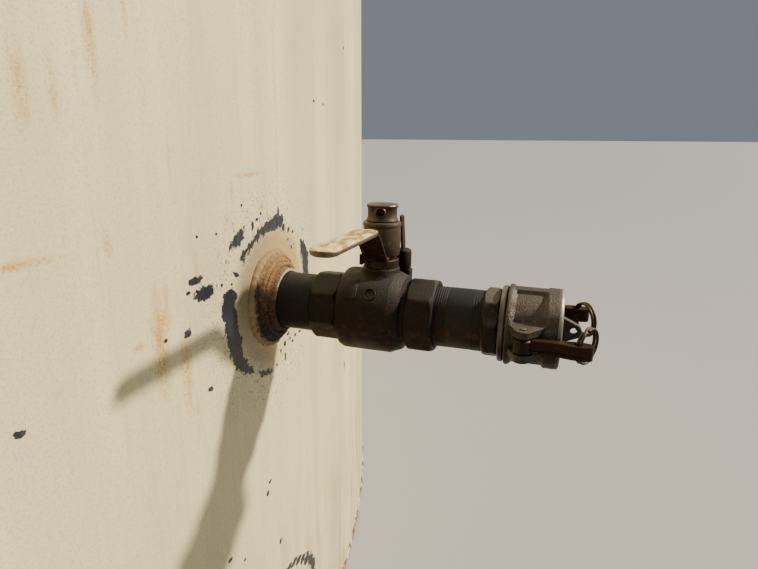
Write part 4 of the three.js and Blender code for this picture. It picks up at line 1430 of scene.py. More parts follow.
@dataclass
class Lug:
    """A half-round lifting plate welded edge-on to the shell."""

    node: str
    hole: float = 30.0
    hole_reach: float = 70.0
    weld_leg: float = 8.0
    weld_step: float = 5.0

    def build(self) -> None:
        """Builds the plate, its shackle hole and its two fillets."""
        out = WORLD.span(self.node).middle
        out.z = 0
        place = Place(Vector((0, 0, 0)), out.normalized(), Vector((0, 0, 1)))
        span = place.span(self.node)
        middle, radius, half = span.middle.z, span.half.z, span.half.y
        face = SHELL_RADIUS - 2.0
        outline = arc((span.low.x, middle), radius, -90, 90, 48)
        outline = [(face, middle - radius), *outline, (face, middle + radius)]
        form = plate(outline, -half, half, "Y")
        form = pierced(form, across_rod(self.hole, half + 5, span.low.x + self.hole_reach, middle, 48))
        heights = np.arange(middle - radius, middle + radius + 1, self.weld_step)
        for side in (-1, 1):
            rings = []
            for k, z in enumerate(heights):
                leg = self.weld_leg + 1.1 * (k % 2) + 0.6 * math.sin(k * 1.7)
                hollow = 0.45 * leg
                rings.append(np.array([
                    (face, side * (half - 2), z), (SHELL_RADIUS + leg, side * (half - 2), z),
                    (SHELL_RADIUS + hollow, side * (half + hollow), z), (face, side * (half + leg), z),
                ]))
            form += skin(rings)
        publish(form, f"{self.node}_plate", RUST, place, stands_for=[self.node], edge=1.0)


# Outlet

# A two inch pipe thread's pitch, and how deep the dirt in it leaves it, in millimetres.
THREAD_PITCH = 2.2
THREAD_DEPTH = 0.75


def pipe_form(span: Span, bore: float, threads: Sequence[Pair], sides: int = 120) -> Form:
    """A pipe nipple with cut threads.

    Args:
        span: its extent in its place.
        bore: its inner radius.
        threads: the first and last station of each threaded stretch.
        sides: the points round it.

    Returns:
        The nipple.
    """
    radius, low, high = span.high.y, span.low.x, span.high.x
    turns = angles(sides)
    marks = {low, high}
    for first, last in threads:
        marks.update(np.arange(first, last, THREAD_PITCH / 5))
    profile: Profile = [(bore, low)]
    for x in sorted(marks):
        cut = np.zeros(sides)
        if any(first <= x <= last for first, last in threads):
            phase = (x / THREAD_PITCH - turns / (2 * math.pi)) % 1.0
            cut = THREAD_DEPTH * np.clip(1.6 * np.abs(phase - 0.5) - 0.15, 0, 1)
        profile.append((radius - cut, x))
    profile.append((bore, high))
    return turned(profile, turns, loop=True)


def polygon(turns: np.ndarray, flats: float, corner: float = 0.0, sides: int = 8) -> np.ndarray:
    """The radius of an eight-sided or six-sided section at each turn.

    Args:
        turns: the angles in radians.
        flats: its width over the flats.
        corner: the turn of one corner in degrees.
        sides: how many flats it has.

    Returns:
        The radii.
    """
    step = 2 * math.pi / sides
    off = (turns - math.radians(corner)) % step - step / 2
    return flats / 2 / np.cos(off)


def octagon_ends(flats: float, corner: float, turns: np.ndarray, low: float, high: float,
                 bevel: float = 3.2) -> Profile:
    """The outside of an eight-sided bar whose corners are turned down at both ends.

    Args:
        flats: its width over the flats.
        corner: the turn of one corner in degrees.
        turns: the angles in radians.
        low: its first station.
        high: its last station.
        bevel: how far the turning reaches in from each end.

    Returns:
        The radius and station of each ring.
    """
    full = polygon(turns, flats, corner)
    face = flats / 2 - 0.6
    steps = [(0.0, face - 0.8), (0.4, face), (bevel * 0.5, face + 1.5), (bevel, face + 2.9)]
    near = [(np.minimum(full, radius), low + step) for step, radius in steps]
    far = [(np.minimum(full, radius), high - step) for step, radius in reversed(steps)]
    return near + far


def octagon_end(node: str, corner: float, bore: float, socket: float, opens: Side) -> Form:
    """An eight-sided fitting end with turned-down corners and a socket for its pipe.

    Args:
        node: the frame's node that it is sized from.
        corner: the turn of one corner in degrees.
        bore: its waterway's radius.
        socket: the radius of its socket.
        opens: NEAR if the socket opens towards the tank, FAR if it opens away from it.

    Returns:
        The end.
    """
    span = OUTLET.span(node)
    turns = angles(128, corner)
    flats = 2 * OUTLET.reach(node) * math.cos(math.pi / 8)
    low, high, depth = span.low.x, span.high.x, 18.0
    profile = octagon_ends(flats, corner, turns, low, high)
    if opens is Side.NEAR:
        profile += [(bore, high), (bore, low + depth), (socket, low + depth)]
        profile += [(socket, low + 1.2), (socket + 1.2, low)]
    else:
        profile += [(socket + 1.2, high), (socket, high - 1.2)]
        profile += [(socket, high - depth), (bore, high - depth), (bore, low)]
    return turned(profile, turns, loop=True)


@dataclass
class Spud:
    """The welded half coupling on the shell, with its build-up of weld passes.

    A weld's three sizes are how far its middle lies inside the build-up's edge, its station along the
    pipe and its half width.
    """

    sides: int = 300
    sleeve: float = 33.6
    bore: float = 30.5
    passes: int = 3
    toe_weld: tuple[float, float, float] = (4.6, -0.6, 4.8)
    first_pass: tuple[float, float, float] = (8.2, 3.4, 3.9)
    last_pass: tuple[float, float, float] = (15.4, 10.0, 2.8)

    def build(self) -> None:
        """Lays the weld's toe and its passes, one over the other, and turns the coupling's collar."""
        reach, length = OUTLET.span("outlet_weld").high.y, OUTLET.span("outlet_spud").high.x
        turns = angles(self.sides)
        inset, station, size = self.toe_weld
        toe = self.bead_pass(turns, reach - inset, station, size, 3)
        publish(toe, "outlet_toe_weld", BURNT_WELD, OUTLET, stands_for=["outlet_weld"], crease=70)
        form = turned([
            (self.bore, -4.0), (reach - 7, -4.0), (reach - 7.5, 4.0), (reach - 12.0, 7.4),
            (reach - 15.6, 9.8), (self.sleeve + 1.6, 11.6), (self.sleeve + 0.9, length - 4.4),
            (self.sleeve + 0.3, length - 1.0), (self.sleeve - 0.9, length), (self.bore + 0.5, length),
            (self.bore, length - 0.8),
        ], turns, loop=True)
        for k in range(self.passes):
            share = k / (self.passes - 1)
            inset, station, size = (a + (b - a) * share for a, b in zip(self.first_pass, self.last_pass))
            form += self.bead_pass(turns, reach - inset, station, size, 13 + 9 * k)
        publish(form, "outlet_coupling", BURNT_WELD, OUTLET, stands_for=["outlet_spud"], crease=70)

    @staticmethod
    def bead_pass(turns: np.ndarray, radius: float, station: float, size: float, seed: int) -> Form:
        """One ring of weld metal with the lumps that each stop of the rod leaves.

        Args:
            turns: the angles of its points.
            radius: the middle of its section.
            station: where the middle of its section lies along the pipe.
            size: the section's half width.
            seed: picks its own lumps.

        Returns:
            The ring.
        """
        lump, fine = waves(turns, seed, 6, 9), waves(turns, seed + 1, 30, 24)
        stations = []
        for a in angles(12):
            swell = size * (1 + 0.14 * lump + 0.2 * fine * (1 + math.sin(a)) / 2)
            out, along = swell * math.cos(a), swell * math.sin(a)
            stations.append((radius + 0.5 * lump + out, station + 0.4 * fine + along))
        return turned(stations, turns, loop=True)


@dataclass
class BallValve:
    """The two inch ball valve: two eight-sided ends and a round cast body."""

    inner_corner: float = 13.0
    outer_corner: float = 7.5
    bore: float = 19.0
    socket: float = 30.4
    pipe_bore: float = 26.2
    near_thread: tuple[Pair, ...] = ((53, 58),)
    far_threads: tuple[Pair, ...] = ((180, 195), (219, 232))
    body_bore: float = 31.0
    shoulder_from: float = 139.0
    shoulder_to: float = 149.5
    pad_along: Pair = (92.5, 107.5)
    pad_turns: Pair = (30.0, 66.0)
    pad_proud: float = 0.7
    stop_along: Pair = (9.0, 26.0)
    stop_across: Pair = (15.0, 27.0)
    stop_top: float = 40.2
    mark_at: float = 121.0
    mark_turn: float = 53.8
    mark_radius: float = 6.3
    boss_bore: float = 9.0
    gland_bore: float = 8.6

    def build(self) -> None:
        """Builds the pipes, the ends, the body and the gland."""
        for node, name, threads in (
            ("inner_nipple", "pipe_to_valve", self.near_thread),
            ("outer_nipple", "pipe_to_coupling", self.far_threads),
        ):
            form = pipe_form(OUTLET.span(node), self.pipe_bore, threads)
            publish(form, name, PIPE, OUTLET, stands_for=[node])
        for node, name, corner, opens in (
            ("valve_inner_end", "valve_end_near", self.inner_corner, Side.NEAR),
            ("valve_outer_end", "valve_end_far", self.outer_corner, Side.FAR),
        ):
            form = octagon_end(node, corner, self.bore, self.socket, opens)
            publish(form, name, IRON, OUTLET, stands_for=[node], edge=0.5, crease=25)
        self.body()
        self.gland()

    def body(self) -> None:
        """Casts the round body with its shoulder, its stem boss and the plain round mark on its side."""
        span = OUTLET.span("valve_body")
        radius, low, high = span.high.y, span.low.x, span.high.x
        turns = angles(144)
        sag = 0.25 * waves(turns, 29, 3, 5)
        stations = [
            (self.body_bore, low), (radius - 6, low), (radius - 3.4, low + 0.6), (radius - 1.4, low + 2.0),
            (radius - 0.4 + sag, low + 4.2), (radius + sag, low + 7.0),
            (radius + sag, self.shoulder_from - 1), (radius - 0.5 + sag, self.shoulder_from),
            (radius - 4.4, self.shoulder_to - 0.6), (radius - 5.4, self.shoulder_to),
            (radius - 7.6, self.shoulder_to + 0.6), (radius - 8.0, self.shoulder_to + 1.6),
            (radius - 8.0, high), (self.body_bore, high),
        ]
        form = turned(stations, turns, loop=True)
        form += self.pad(radius)
        stop_near, stop_far = (STEM_AT + along for along in self.stop_along)
        form += block((stop_near, stop_far), self.stop_across, (26, self.stop_top))
        edge = self.mark_radius
        mark = turned_up([
            (edge - 2.0, -2.0), (edge + 0.2, -2.0), (edge, 0.8), (edge - 0.5, 1.3), (edge - 1.2, 1.2),
            (edge - 1.6, 0.3),
        ], angles(40), loop=True).at(self.mark_at, 0, radius)
        form += mark.moved(spun(self.mark_turn, "X"))
        boss_top = STEM.span("valve_bonnet").low.z - 0.3
        form += turned_up([
            (self.boss_bore, 30.0), (23.5, 34.0), (20.8, 38.0), (19.2, 41.0), (18.8, 44.0),
            (18.4, boss_top - 0.6), (17.8, boss_top), (self.boss_bore, boss_top),
        ], angles(72), loop=True).at(STEM_AT, 0, 0)
        publish(form, "valve_casting", IRON, OUTLET, stands_for=["valve_body"], crease=40)

    def pad(self, radius: float) -> Form:
        """The low cast pad that wraps part of the way round the body.

        Args:
            radius: the radius of the face that it stands on.

        Returns:
            The pad.
        """
        (low, high), (start, end) = self.pad_along, self.pad_turns
        rings = []
        for degrees in np.linspace(start, end, 13):
            a = math.radians(degrees)
            lift = self.pad_proud if start < degrees < end else -0.3
            rows = [(low, radius - 1.5), (low, radius - 0.1), (low + 1.0, radius + lift)]
            rows += [(low + high - x, r) for x, r in reversed(rows)]
            rings.append(np.array([(x, -r * math.sin(a), r * math.cos(a)) for x, r in rows]))
        return skin(rings)

    def gland(self) -> None:
        """Turns the gland nut round the stem."""
        span = STEM.span("valve_bonnet")
        radius, low, high = span.high.y, span.low.z, span.high.z
        form = turned_up([
            (self.gland_bore, low), (radius - 0.5, low), (radius, low + 0.6), (radius, high - 0.8),
            (radius - 0.8, high), (self.gland_bore, high),
        ], angles(72), loop=True)
        publish(form, "gland_nut", GLAND, STEM, stands_for=["valve_bonnet"])


@dataclass
class Lever:
    """Everything that turns with the stem: the lever, its grip, the tall sleeve, its cap and the lock."""

    plate: float = 3.2
    bend_radius: float = 5.0
    hub_reach: float = 18.0
    root_reach: float = 20.0
    bend_reach: float = 50.0
    stop_out: float = 16.2
    stop_across: Pair = (-22.0, -12.2)
    stop_deep: float = 10.5
    tail_across: Pair = (11.5, 24.0)
    grip_root: float = 87.4
    grip_half_thick: float = 4.1
    grip_tip_drop: float = 4.2
    grip_root_ease: float = 7.0
    oval_half: Pair = (7.0, 11.0)
    oval_deep: float = 0.9
    oval_from_ends: Pair = (34.0, 24.0)
    groove_deep: float = 0.35
    groove_half: float = 2.0
    stem_bore: float = 8.4
    sleeve_foot: float = 18.2
    cap_waist: float = 1.3
    bar_hole: float = 3.6
    hole_turn: float = 9.0
    strip_lean: float = 2.4

    def build(self) -> None:
        """Builds the strap, the grip, the sleeve, the cap and the lock."""
        self.strap()
        self.grip()
        self.sleeve()
        self.cap()
        self.lock()

    def strap(self) -> None:
        """Bends the lever's strap and adds its hub, its stop and its tail."""
        span, half = STEM.span("lever_strap"), STEM.span("lever_grip").half.x
        low = STEM.span("valve_bonnet").high.z + 0.6
        level = (low, low + self.plate)
        hub, top = low + self.plate / 2, span.high.z - self.plate / 2
        bend = -self.bend_reach
        path = [(self.hub_reach, hub), (-self.root_reach, hub), (bend + 1, top), (bend - 5, top)]
        line = np.array(self.rounded(path))
        ahead = np.gradient(line, axis=0)
        ahead /= np.linalg.norm(ahead, axis=1)[:, None]
        side = np.stack([-ahead[:, 1], ahead[:, 0]], 1) * self.plate / 2
        outline = [tuple(p) for p in line + side] + [tuple(p) for p in (line - side)[::-1]]
        form = plate(outline, -half, half, "X")
        form += plate(arc((0, 0), half, 0, 180, 20), *level).at(0, 4, 0)
        out = -self.stop_out
        form += block((out, out + 3), self.stop_across, (span.low.z, span.low.z + self.stop_deep))
        form += block((out, 0), self.stop_across, level)
        form += block((0, STEM.span("lock_post").low.x - 0.3), self.tail_across, level)
        publish(form, "lever_plate", STRAP_STEEL, STEM, Body.LEVER, ["lever_strap"], edge=0.6)

    def rounded(self, path: Sequence[Pair]) -> list[Pair]:
        """A path with its inner corners drawn as arcs.

        Args:
            path: its corners.

        Returns:
            Its points.
        """
        made = [path[0]]
        for before, corner, after in zip(path, path[1:], path[2:]):
            here, to_before, to_after = (np.array(p, float) for p in (corner, before, after))
            back, on = to_before - here, to_after - here
            start = here + back / np.linalg.norm(back) * self.bend_radius
            end = here + on / np.linalg.norm(on) * self.bend_radius
            for t in np.linspace(0, 1, 7):
                made.append(tuple((1 - t) ** 2 * start + 2 * t * (1 - t) * here + t * t * end))
        made.append(path[-1])
        return made

    def grip(self) -> None:
        """Moulds the grip: a flat bar with a round tip, two ringed ovals and a groove along its top."""
        span = STEM.span("lever_grip")
        half = span.half.x
        start, end = -span.high.y - 2.0, -span.low.y + 0.4
        tip_z = span.high.z - self.grip_tip_drop
        around = angles(56)
        cos, sin = np.cos(around), np.sin(around)
        top = sin > 0
        bar = np.linspace(start, end - half, 46)
        tip = end - half + half * np.sin(np.linspace(0.06, 1.55, 18))
        rings = []
        for reach in np.concatenate([bar, tip]):
            into = max(0.0, reach - (end - half)) / half
            from_root = (reach - start) / self.grip_root_ease
            wide = half * math.sqrt(max(1e-4, 1 - into * into)) * min(1.0, 0.86 + 0.14 * from_root)
            tall = self.grip_half_thick * (1 - 0.45 * into**3) * min(1.0, 0.7 + 0.3 * from_root)
            middle = self.grip_root + (tip_z - self.grip_root) * (reach - start) / (end - start)
            x = wide * np.sign(cos) * np.abs(cos) ** 0.75
            z = tall * np.sign(sin) * np.abs(sin) ** 0.8
            for oval in (start + self.oval_from_ends[0], end - self.oval_from_ends[1]):
                ring = np.hypot(x / self.oval_half[0], (reach - oval) / self.oval_half[1])
                z = np.where(top, z - self.oval_deep * np.exp(-(((ring - 0.75) / 0.28) ** 2)), z)
            z = np.where(top, z - self.groove_deep * np.exp(-((x / self.groove_half) ** 2)), z)
            rings.append(np.stack([x, np.full(len(x), -reach), middle + z], 1))
        publish(skin(rings), "lever_sleeve", VINYL, STEM, Body.LEVER, ["lever_grip"], crease=60)

    def sleeve(self) -> None:
        """Turns the tall sleeve over the stem, with a rolled rim at its top."""
        span = STEM.span("stem_sleeve")
        low, high, radius = span.low.z, span.high.z, span.high.y - 0.8
        foot = self.sleeve_foot
        form = turned_up([
            (self.stem_bore, low), (foot - 0.4, low), (foot, low + 0.6),
            (foot + (radius - foot) * 0.55, (low + high) / 2), (radius - 0.7, high - 6),
            (radius - 0.9, high - 4.6), (radius - 0.1, high - 3.8), (radius, high - 2.0),
            (radius - 0.6, high - 0.5), (radius - 1.8, high), (radius - 4.5, high),
            (self.stem_bore, high - 0.4),
        ], angles(96), loop=True)
        publish(form, "stem_tower", STEM_STEEL, STEM, Body.LEVER, ["stem_sleeve"])

    def cap(self) -> None:
        """Turns the waisted cap, with the hole for a tommy bar and the raised ring round it."""
        span = STEM.span("stem_cap")
        low, high, rim = span.low.z, span.high.z, span.high.y
        waist, hole = rim - self.cap_waist, self.bar_hole
        body = turned_up([
            (rim - 0.3, low), (rim, low + 0.6), (rim - 0.2, low + 1.6), (waist, low + 3.6),
            (waist, high - 4.2), (rim - 0.2, high - 2.2), (rim, high - 1.2), (rim - 0.5, high - 0.3),
            (rim - 1.6, high),
        ], angles(96))
        middle = (low + high) / 2 + 1.0
        face = spun(90, "X") @ Matrix.Translation((0, 0, waist))
        ring = turned_up([
            (hole, -4.0), (hole + 1.8, -4.0), (hole + 1.8, 0.7), (hole + 1.2, 1.4), (hole + 0.5, 1.4),
            (hole, 0.6),
        ], angles(40), loop=True)
        bar = turned_up([(hole, -9.0), (hole, 4.0)], angles(40))
        lifted = Matrix.Translation((0, 0, middle)) @ spun(self.hole_turn)
        body = pierced(body, bar.moved(lifted @ face))
        publish(body + ring.moved(lifted @ face), "tower_cap", STEM_STEEL, STEM, Body.LEVER, ["stem_cap"])

    def lock(self) -> None:
        """Builds the lock's round body and the strip that stands beside the sleeve."""
        post, strip = STEM.span("lock_post"), STEM.span("lock_strap")
        radius = post.half.x + 1.0
        foot = BallValve.stop_top + 1.0
        form = turned_up([
            (radius - 1.6, foot), (radius - 0.5, foot + 0.5), (radius, foot + 1.8),
            (radius, post.high.z - 3.2), (radius - 0.8, post.high.z - 1.4),
            (radius - 2.4, post.high.z - 0.3), (radius - 4.2, post.high.z),
        ], angles(48)).at(post.middle.x, post.middle.y, 0)
        publish(form, "lock_body", IRON, STEM, Body.LEVER, ["lock_post"])
        lean = self.strip_lean
        sides = [
            (strip.low.x, strip.low.z), (strip.high.x, strip.low.z),
            (strip.high.x - lean, strip.high.z - 1.5), (strip.low.x - lean, strip.high.z),
        ]
        form = plate(sides, strip.low.y, strip.high.y, "Y")
        publish(form, "lock_strip", GLAND, STEM, Body.LEVER, ["lock_strap"], edge=0.5)


@dataclass
class CamCoupling:
    """The cam-and-groove adapter and the dust cap that its two arms hold on."""

    hub_corner: float = -4.0
    hub_flats: float = 64.0
    shoulder_from: float = 244.0
    shoulder_to: float = 249.5
    male_radius: float = 31.5
    groove_radius: float = 28.0
    adapter_bore: float = 22.0
    adapter_socket: float = 30.6
    cap_radius: float = 37.8
    cap_lip: float = 39.0
    cap_bore: float = 32.4
    cap_length: float = 50.5
    panel_from: float = 255.0
    panel_to: float = 286.5
    panel_half_turn: float = 30.5
    panel_turns: tuple[float, ...] = (42.5, 147.5, 222.5, 327.5)
    panel_depth: float = 3.2
    panel_slope: float = 2.8
    ear_inner: float = 8.2
    ear_outer: float = 15.2
    ear_round: float = 8.0
    pin_hole: float = 3.2
    eye_half: float = 4.0
    eye_round: float = 7.0
    eye_hole: float = 3.5
    nose: float = 8.0
    boss: float = 5.5
    web_reach: Pair = (-3.7, 3.3)
    tip_radius: float = 4.8
    rail: float = 2.8
    ring_hole: float = 3.7
    ring_radius: float = 16.0
    wire: float = 1.35

    def build(self) -> None:
        """Builds the adapter, the cap, the pins, the arms and the rings."""
        self.adapter()
        self.cap()
        for side in Side:
            self.pin(side)
            self.arm(side)
            self.ring(side)

    def adapter(self) -> None:
        """Turns the adapter: an eight-sided hub, a bright shoulder ring and the grooved male end."""
        span = OUTLET.span("cam_adapter")
        turns = angles(128, self.hub_corner)
        low, high, back = span.low.x, span.high.x, self.shoulder_from
        male, groove = self.male_radius, self.groove_radius
        bore, socket = self.adapter_bore, self.adapter_socket
        stations = octagon_ends(self.hub_flats, self.hub_corner, turns, low, back)
        stations += [
            (male, back), (male, 255.0), (groove, 259.0), (groove, 276.0), (male, 278.0), (male, high - 1),
            (male - 1, high), (bore, high), (bore, low + 14), (socket, low + 14), (socket, low),
        ]
        form = turned(stations, turns, loop=True)
        publish(form, "coupling_adapter", TURNED_ALUMINIUM, OUTLET, stands_for=["cam_adapter"], edge=0.5,
                crease=25)
        shoulder = tube(male + 0.1, span.high.y, back, self.shoulder_to, 1.2)
        publish(turned(shoulder, angles(128), loop=True), "coupling_shoulder", RUBBED_SHOULDER, OUTLET)

    def cap(self) -> None:
        """Casts the dust cap with its recessed panels, its ears and its eye."""
        span = OUTLET.span("dust_cap")
        low, outer, lip, inner = span.low.x, self.cap_radius, self.cap_lip, self.cap_bore
        end = low + self.cap_length
        slope = math.degrees(self.panel_slope / outer)
        marks = set(np.arange(0, 360, 3.0).tolist())
        for centre in self.panel_turns:
            for off in (self.panel_half_turn, self.panel_half_turn - slope):
                marks = {m for m in marks if min(abs(m - centre - off), abs(m - centre + off)) > 1.0}
                marks.update({centre - off, centre + off})
        turns = np.radians(np.array(sorted(marks)))
        stations: Profile = [(inner, low), (lip - 1.4, low), (lip, low + 1.2)]
        first, last, ease = self.panel_from, self.panel_to, self.panel_slope
        for x in (low + 3, first, first + ease, (first + last) / 2, last - ease, last, end - 4.2):
            rim = lip if x < low + 4 else outer + 0.4
            stations.append((rim - self.recess(turns, x), x))
        stations += [(outer - 2.0, end - 4.2), (outer - 4, end - 0.6), (2.0, end - 0.6), (2.0, end - 8)]
        stations += [(inner, end - 8)]
        form = turned(stations, turns, loop=True)
        for side in Side:
            form += self.ears(side)
        form += self.eye(end, span.high.x)
        publish(form, "cap_casting", CAST_ALUMINIUM, OUTLET, stands_for=["dust_cap"], edge=0.5, crease=28)
        # The closed end's rim in a lighter finish: wear, and a painted highlight on its edge.
        rim = turned([
            (outer - 4.0, end - 4.1), (outer, end - 4.1), (outer + 0.5, end - 3.5),
            (outer + 0.2, end - 1.6), (outer - 1.2, end - 0.3), (outer - 2.6, end),
            (outer - 4.0, end - 0.3),
        ], angles(128), loop=True)
        publish(rim, "cap_rim", RUBBED_AND_HIGHLIT_ALUMINIUM, OUTLET, crease=40)

    def recess(self, turns: np.ndarray, x: float) -> np.ndarray:
        """How deep the cap's panels are at a station.

        Args:
            turns: the angles of the cap's points.
            x: the station.

        Returns:
            The depth at each angle.
        """
        along = np.clip(min(x - self.panel_from, self.panel_to - x) / self.panel_slope, 0, 1)
        deep = np.zeros_like(turns)
        slope = math.degrees(self.panel_slope / self.cap_radius)
        for centre in self.panel_turns:
            off = np.abs((np.degrees(turns) - centre + 180) % 360 - 180)
            deep = np.maximum(deep, np.clip((self.panel_half_turn - off) / slope, 0, 1))
        return self.panel_depth * along * deep

    def ears(self, side: Side) -> Form:
        """The pair of pointed ears that carry one arm.

        Args:
            side: which arm.

        Returns:
            The ears, in the outlet's place.
        """
        place = cam_place(side)
        pivot = place.joint(f"cam_{side.value}_open")
        outline = [(pivot.x - 14, 33), (pivot.x - 14, 36)]
        outline += arc((pivot.x, pivot.z), self.ear_round, 150, 30, 12)
        outline += [(pivot.x + 18, 36), (pivot.x + 18, 33)]
        both = plate(outline, self.ear_inner, self.ear_outer, "Y")
        both += plate(outline, -self.ear_outer, -self.ear_inner, "Y")
        both = pierced(both, across_rod(self.pin_hole, 20, pivot.x, pivot.z))
        return both.moved(OUTLET.matrix.inverted() @ place.matrix)

    def eye(self, end: float, tip: float) -> Form:
        """The upright eye on the cap's closed end.

        Args:
            end: the station of the closed end.
            tip: the station that the eye reaches.

        Returns:
            The eye.
        """
        centre, half = tip - self.eye_round, self.eye_half
        outline = [(end - 3, -14), *arc((centre, 0), self.eye_round, -60, 60, 14), (end - 3, 14)]
        form = plate(outline, -half, half, "Y")
        return pierced(form, across_rod(self.eye_hole, half + 3, centre, 0, 36))

    @staticmethod
    def pin(side: Side) -> None:
        """Heads one arm's pin.

        Args:
            side: which arm.
        """
        place = cam_place(side)
        span = place.span(f"cam_pin_{side.value}")
        radius, low, high = span.half.x, span.low.y, span.high.y
        form = turned([
            (radius - 1.0, low), (radius - 0.2, low + 0.4), (radius, low + 1.2), (radius, high - 1.2),
            (radius - 0.2, high - 0.4), (radius - 1.0, high),
        ], angles(32)).moved(ACROSS).at(span.middle.x, 0, span.middle.z)
        publish(form, f"arm_pin_{side.value}", STEM_STEEL, place, stands_for=[f"cam_pin_{side.value}"])

    def arm(self, side: Side) -> None:
        """Casts one cam arm: its nose, its web and the two rails along its back.

        Args:
            side: which arm.
        """
        place = cam_place(side)
        span = place.span(f"cam_arm_{side.value}")
        pivot, ring = place.joint(f"cam_{side.value}_open"), place.joint(f"ring_{side.value}_swing")
        half, boss = span.high.y, self.boss
        low, high = (ring.z + reach for reach in self.web_reach)
        form = across_rod(self.nose, half, pivot.x, pivot.z, 48, 1.0)
        form += block((pivot.x - 6, pivot.x + 6), (-half, half), (span.low.z, pivot.z - 4))
        rails, web = ((half - self.rail, half), (-half, self.rail - half)), (1.0 - half, half - 1.0)
        for sunk, (start, end) in ((0.0, rails[0]), (0.0, rails[1]), (1.0, web)):
            under, top = ring.z - boss, ring.z + boss - sunk
            outline = [(pivot.x, low), (ring.x - 12, low), (ring.x - 5, under), (ring.x + 5, under)]
            outline += arc((span.high.x - self.tip_radius, ring.z), self.tip_radius, -70, 70, 10)
            outline += [(ring.x + 5, top), (ring.x - 5, top)]
            outline += [(ring.x - 15, high - sunk), (pivot.x + 4, high - sunk)]
            form += plate(outline, start, end, "Y")
        for radius, at in ((self.pin_hole + 0.1, pivot), (self.ring_hole, ring)):
            form = pierced(form, across_rod(radius, half + 2, at.x, at.z))
        body = Body(f"cam_{side.value}")
        publish(form, f"arm_{side.value}", BRONZE, place, body, [f"cam_arm_{side.value}"], edge=0.5)

    def ring(self, side: Side) -> None:
        """Coils a split ring of two turns of wire.

        Args:
            side: which arm it hangs on.
        """
        place = cam_place(side)
        node, y_axis = f"pull_ring_{side.value}", Vector((0, 1, 0))
        hinge, centre = place.joint(f"ring_{side.value}_swing"), place.span(node).middle
        out = Vector((centre.x - hinge.x, 0, centre.z - hinge.z)).normalized()
        normal = out.cross(y_axis)
        centre.y = 0
        path = []
        for turn in np.linspace(0.12, 2 * 2 * math.pi - 0.12, 121):
            slide = 1.12 * self.wire * math.tanh((turn - 2 * math.pi) * 3.0)
            radial = out * math.cos(turn + 1.9) + y_axis * math.sin(turn + 1.9)
            path.append(centre + radial * self.ring_radius + normal * slide)
        form = swept(np.array(path), self.wire, 10)
        body = Body(f"ring_{side.value}")
        publish(form, f"split_ring_{side.value}", RING_WIRE, place, body, [node], crease=60)


@dataclass
class Drain:
    """The small drain valve near the ground, plugged."""

    bore: float = 13.3
    thread: tuple[Pair, ...] = ((46, 58),)
    socket: float = 17.0
    flats: float = 44.0
    plug_flats: float = 26.0
    plug_round: float = 14.6
    lever_from: float = 44.0
    lever_to: float = 48.0
    lever_half: float = 9.0
    stem: float = 4.6
    nut_flats: float = 11.2

    def build(self) -> None:
        """Builds the collar, the pipe, the valve, the plug and the handle."""
        radius, length = DRAIN.span("drain_spud").high.y, DRAIN.span("drain_spud").high.x
        turns = angles(120)
        lump, fine = waves(turns, 41, 6, 7), waves(turns, 43, 22, 10)
        form = turned([
            (self.socket, -4.0), (radius + 6 + 0.8 * lump, -4.0),
            (radius + 5 + 0.8 * lump + 0.4 * fine, 1.4), (radius + 1.5 + 0.5 * lump, 5.0 + 0.5 * fine),
            (radius, 7.0), (radius, length - 1), (radius - 1, length), (self.socket, length),
        ], turns, loop=True)
        publish(form, "drain_collar", BURNT_WELD, DRAIN, stands_for=["drain_spud"], crease=60)
        form = pipe_form(DRAIN.span("drain_nipple"), self.bore, self.thread, 80)
        publish(form, "drain_pipe", PIPE, DRAIN, stands_for=["drain_nipple"])
        self.valve()
        self.handle()

    def valve(self) -> None:
        """Builds the valve's body, its bonnet and the plug in its mouth."""
        span, plug = DRAIN.span("drain_valve"), DRAIN.span("drain_plug")
        corner = 22.5
        turns = angles(96, corner)
        full = polygon(turns, self.flats, corner)
        eased = np.minimum(full, self.flats / 2 + 0.5)
        low, high, top = span.low.x, span.high.x, span.high.z
        form = turned([
            (self.socket, low), (21.0, low), (eased, low + 1.5), (full, low + 3), (full, low + 14),
            (20.0, low + 17), (20.0, high - 17), (full, high - 14), (full, high - 3), (eased, high - 1.5),
            (21.0, high), (self.socket, high),
        ], turns, loop=True)
        form += turned_up([
            (5.0, 8.0), (14.5, 12.0), (12.5, 18.0), (12.0, top - 1), (11.0, top), (5.0, top),
        ], angles(48), loop=True).at(DRAIN.joint("drain_turn").x, 0, 0)
        publish(form, "drain_casting", IRON, DRAIN, stands_for=["drain_valve"], crease=30)
        turns = angles(72)
        head = np.minimum(polygon(turns, self.plug_flats, sides=6), self.plug_round)
        form = turned([
            (16.0, high - 14), (16.6, high - 13), (16.6, high + 3), (15.5, high + 4),
            (head - 0.8, high + 4.2), (head, high + 5), (head, plug.high.x - 1), (head - 1.0, plug.high.x),
        ], turns)
        publish(form, "drain_stopper", RUST, DRAIN, stands_for=["drain_plug"], crease=30)

    def handle(self) -> None:
        """Builds the drain's flat lever and its nut."""
        span, half = DRAIN.span("drain_lever"), self.lever_half
        low, high = self.lever_from, self.lever_to
        outline = arc((0, 0), half, 0, 180, 16) + arc((0, span.low.y + half), half, 180, 360, 16)
        form = plate(outline, low, high)
        form += turned_up(rod(self.stem, span.low.z, low), angles(32))
        turns = angles(48)
        nut = polygon(turns, self.nut_flats, sides=6)
        form += turned_up([(nut, high), (nut, span.high.z)], turns)
        form = form.at(DRAIN.joint("drain_turn").x, 0, 0)
        publish(form, "drain_arm", RUST, DRAIN, Body.DRAIN_HANDLE, ["drain_lever"], edge=0.6)


# Studio


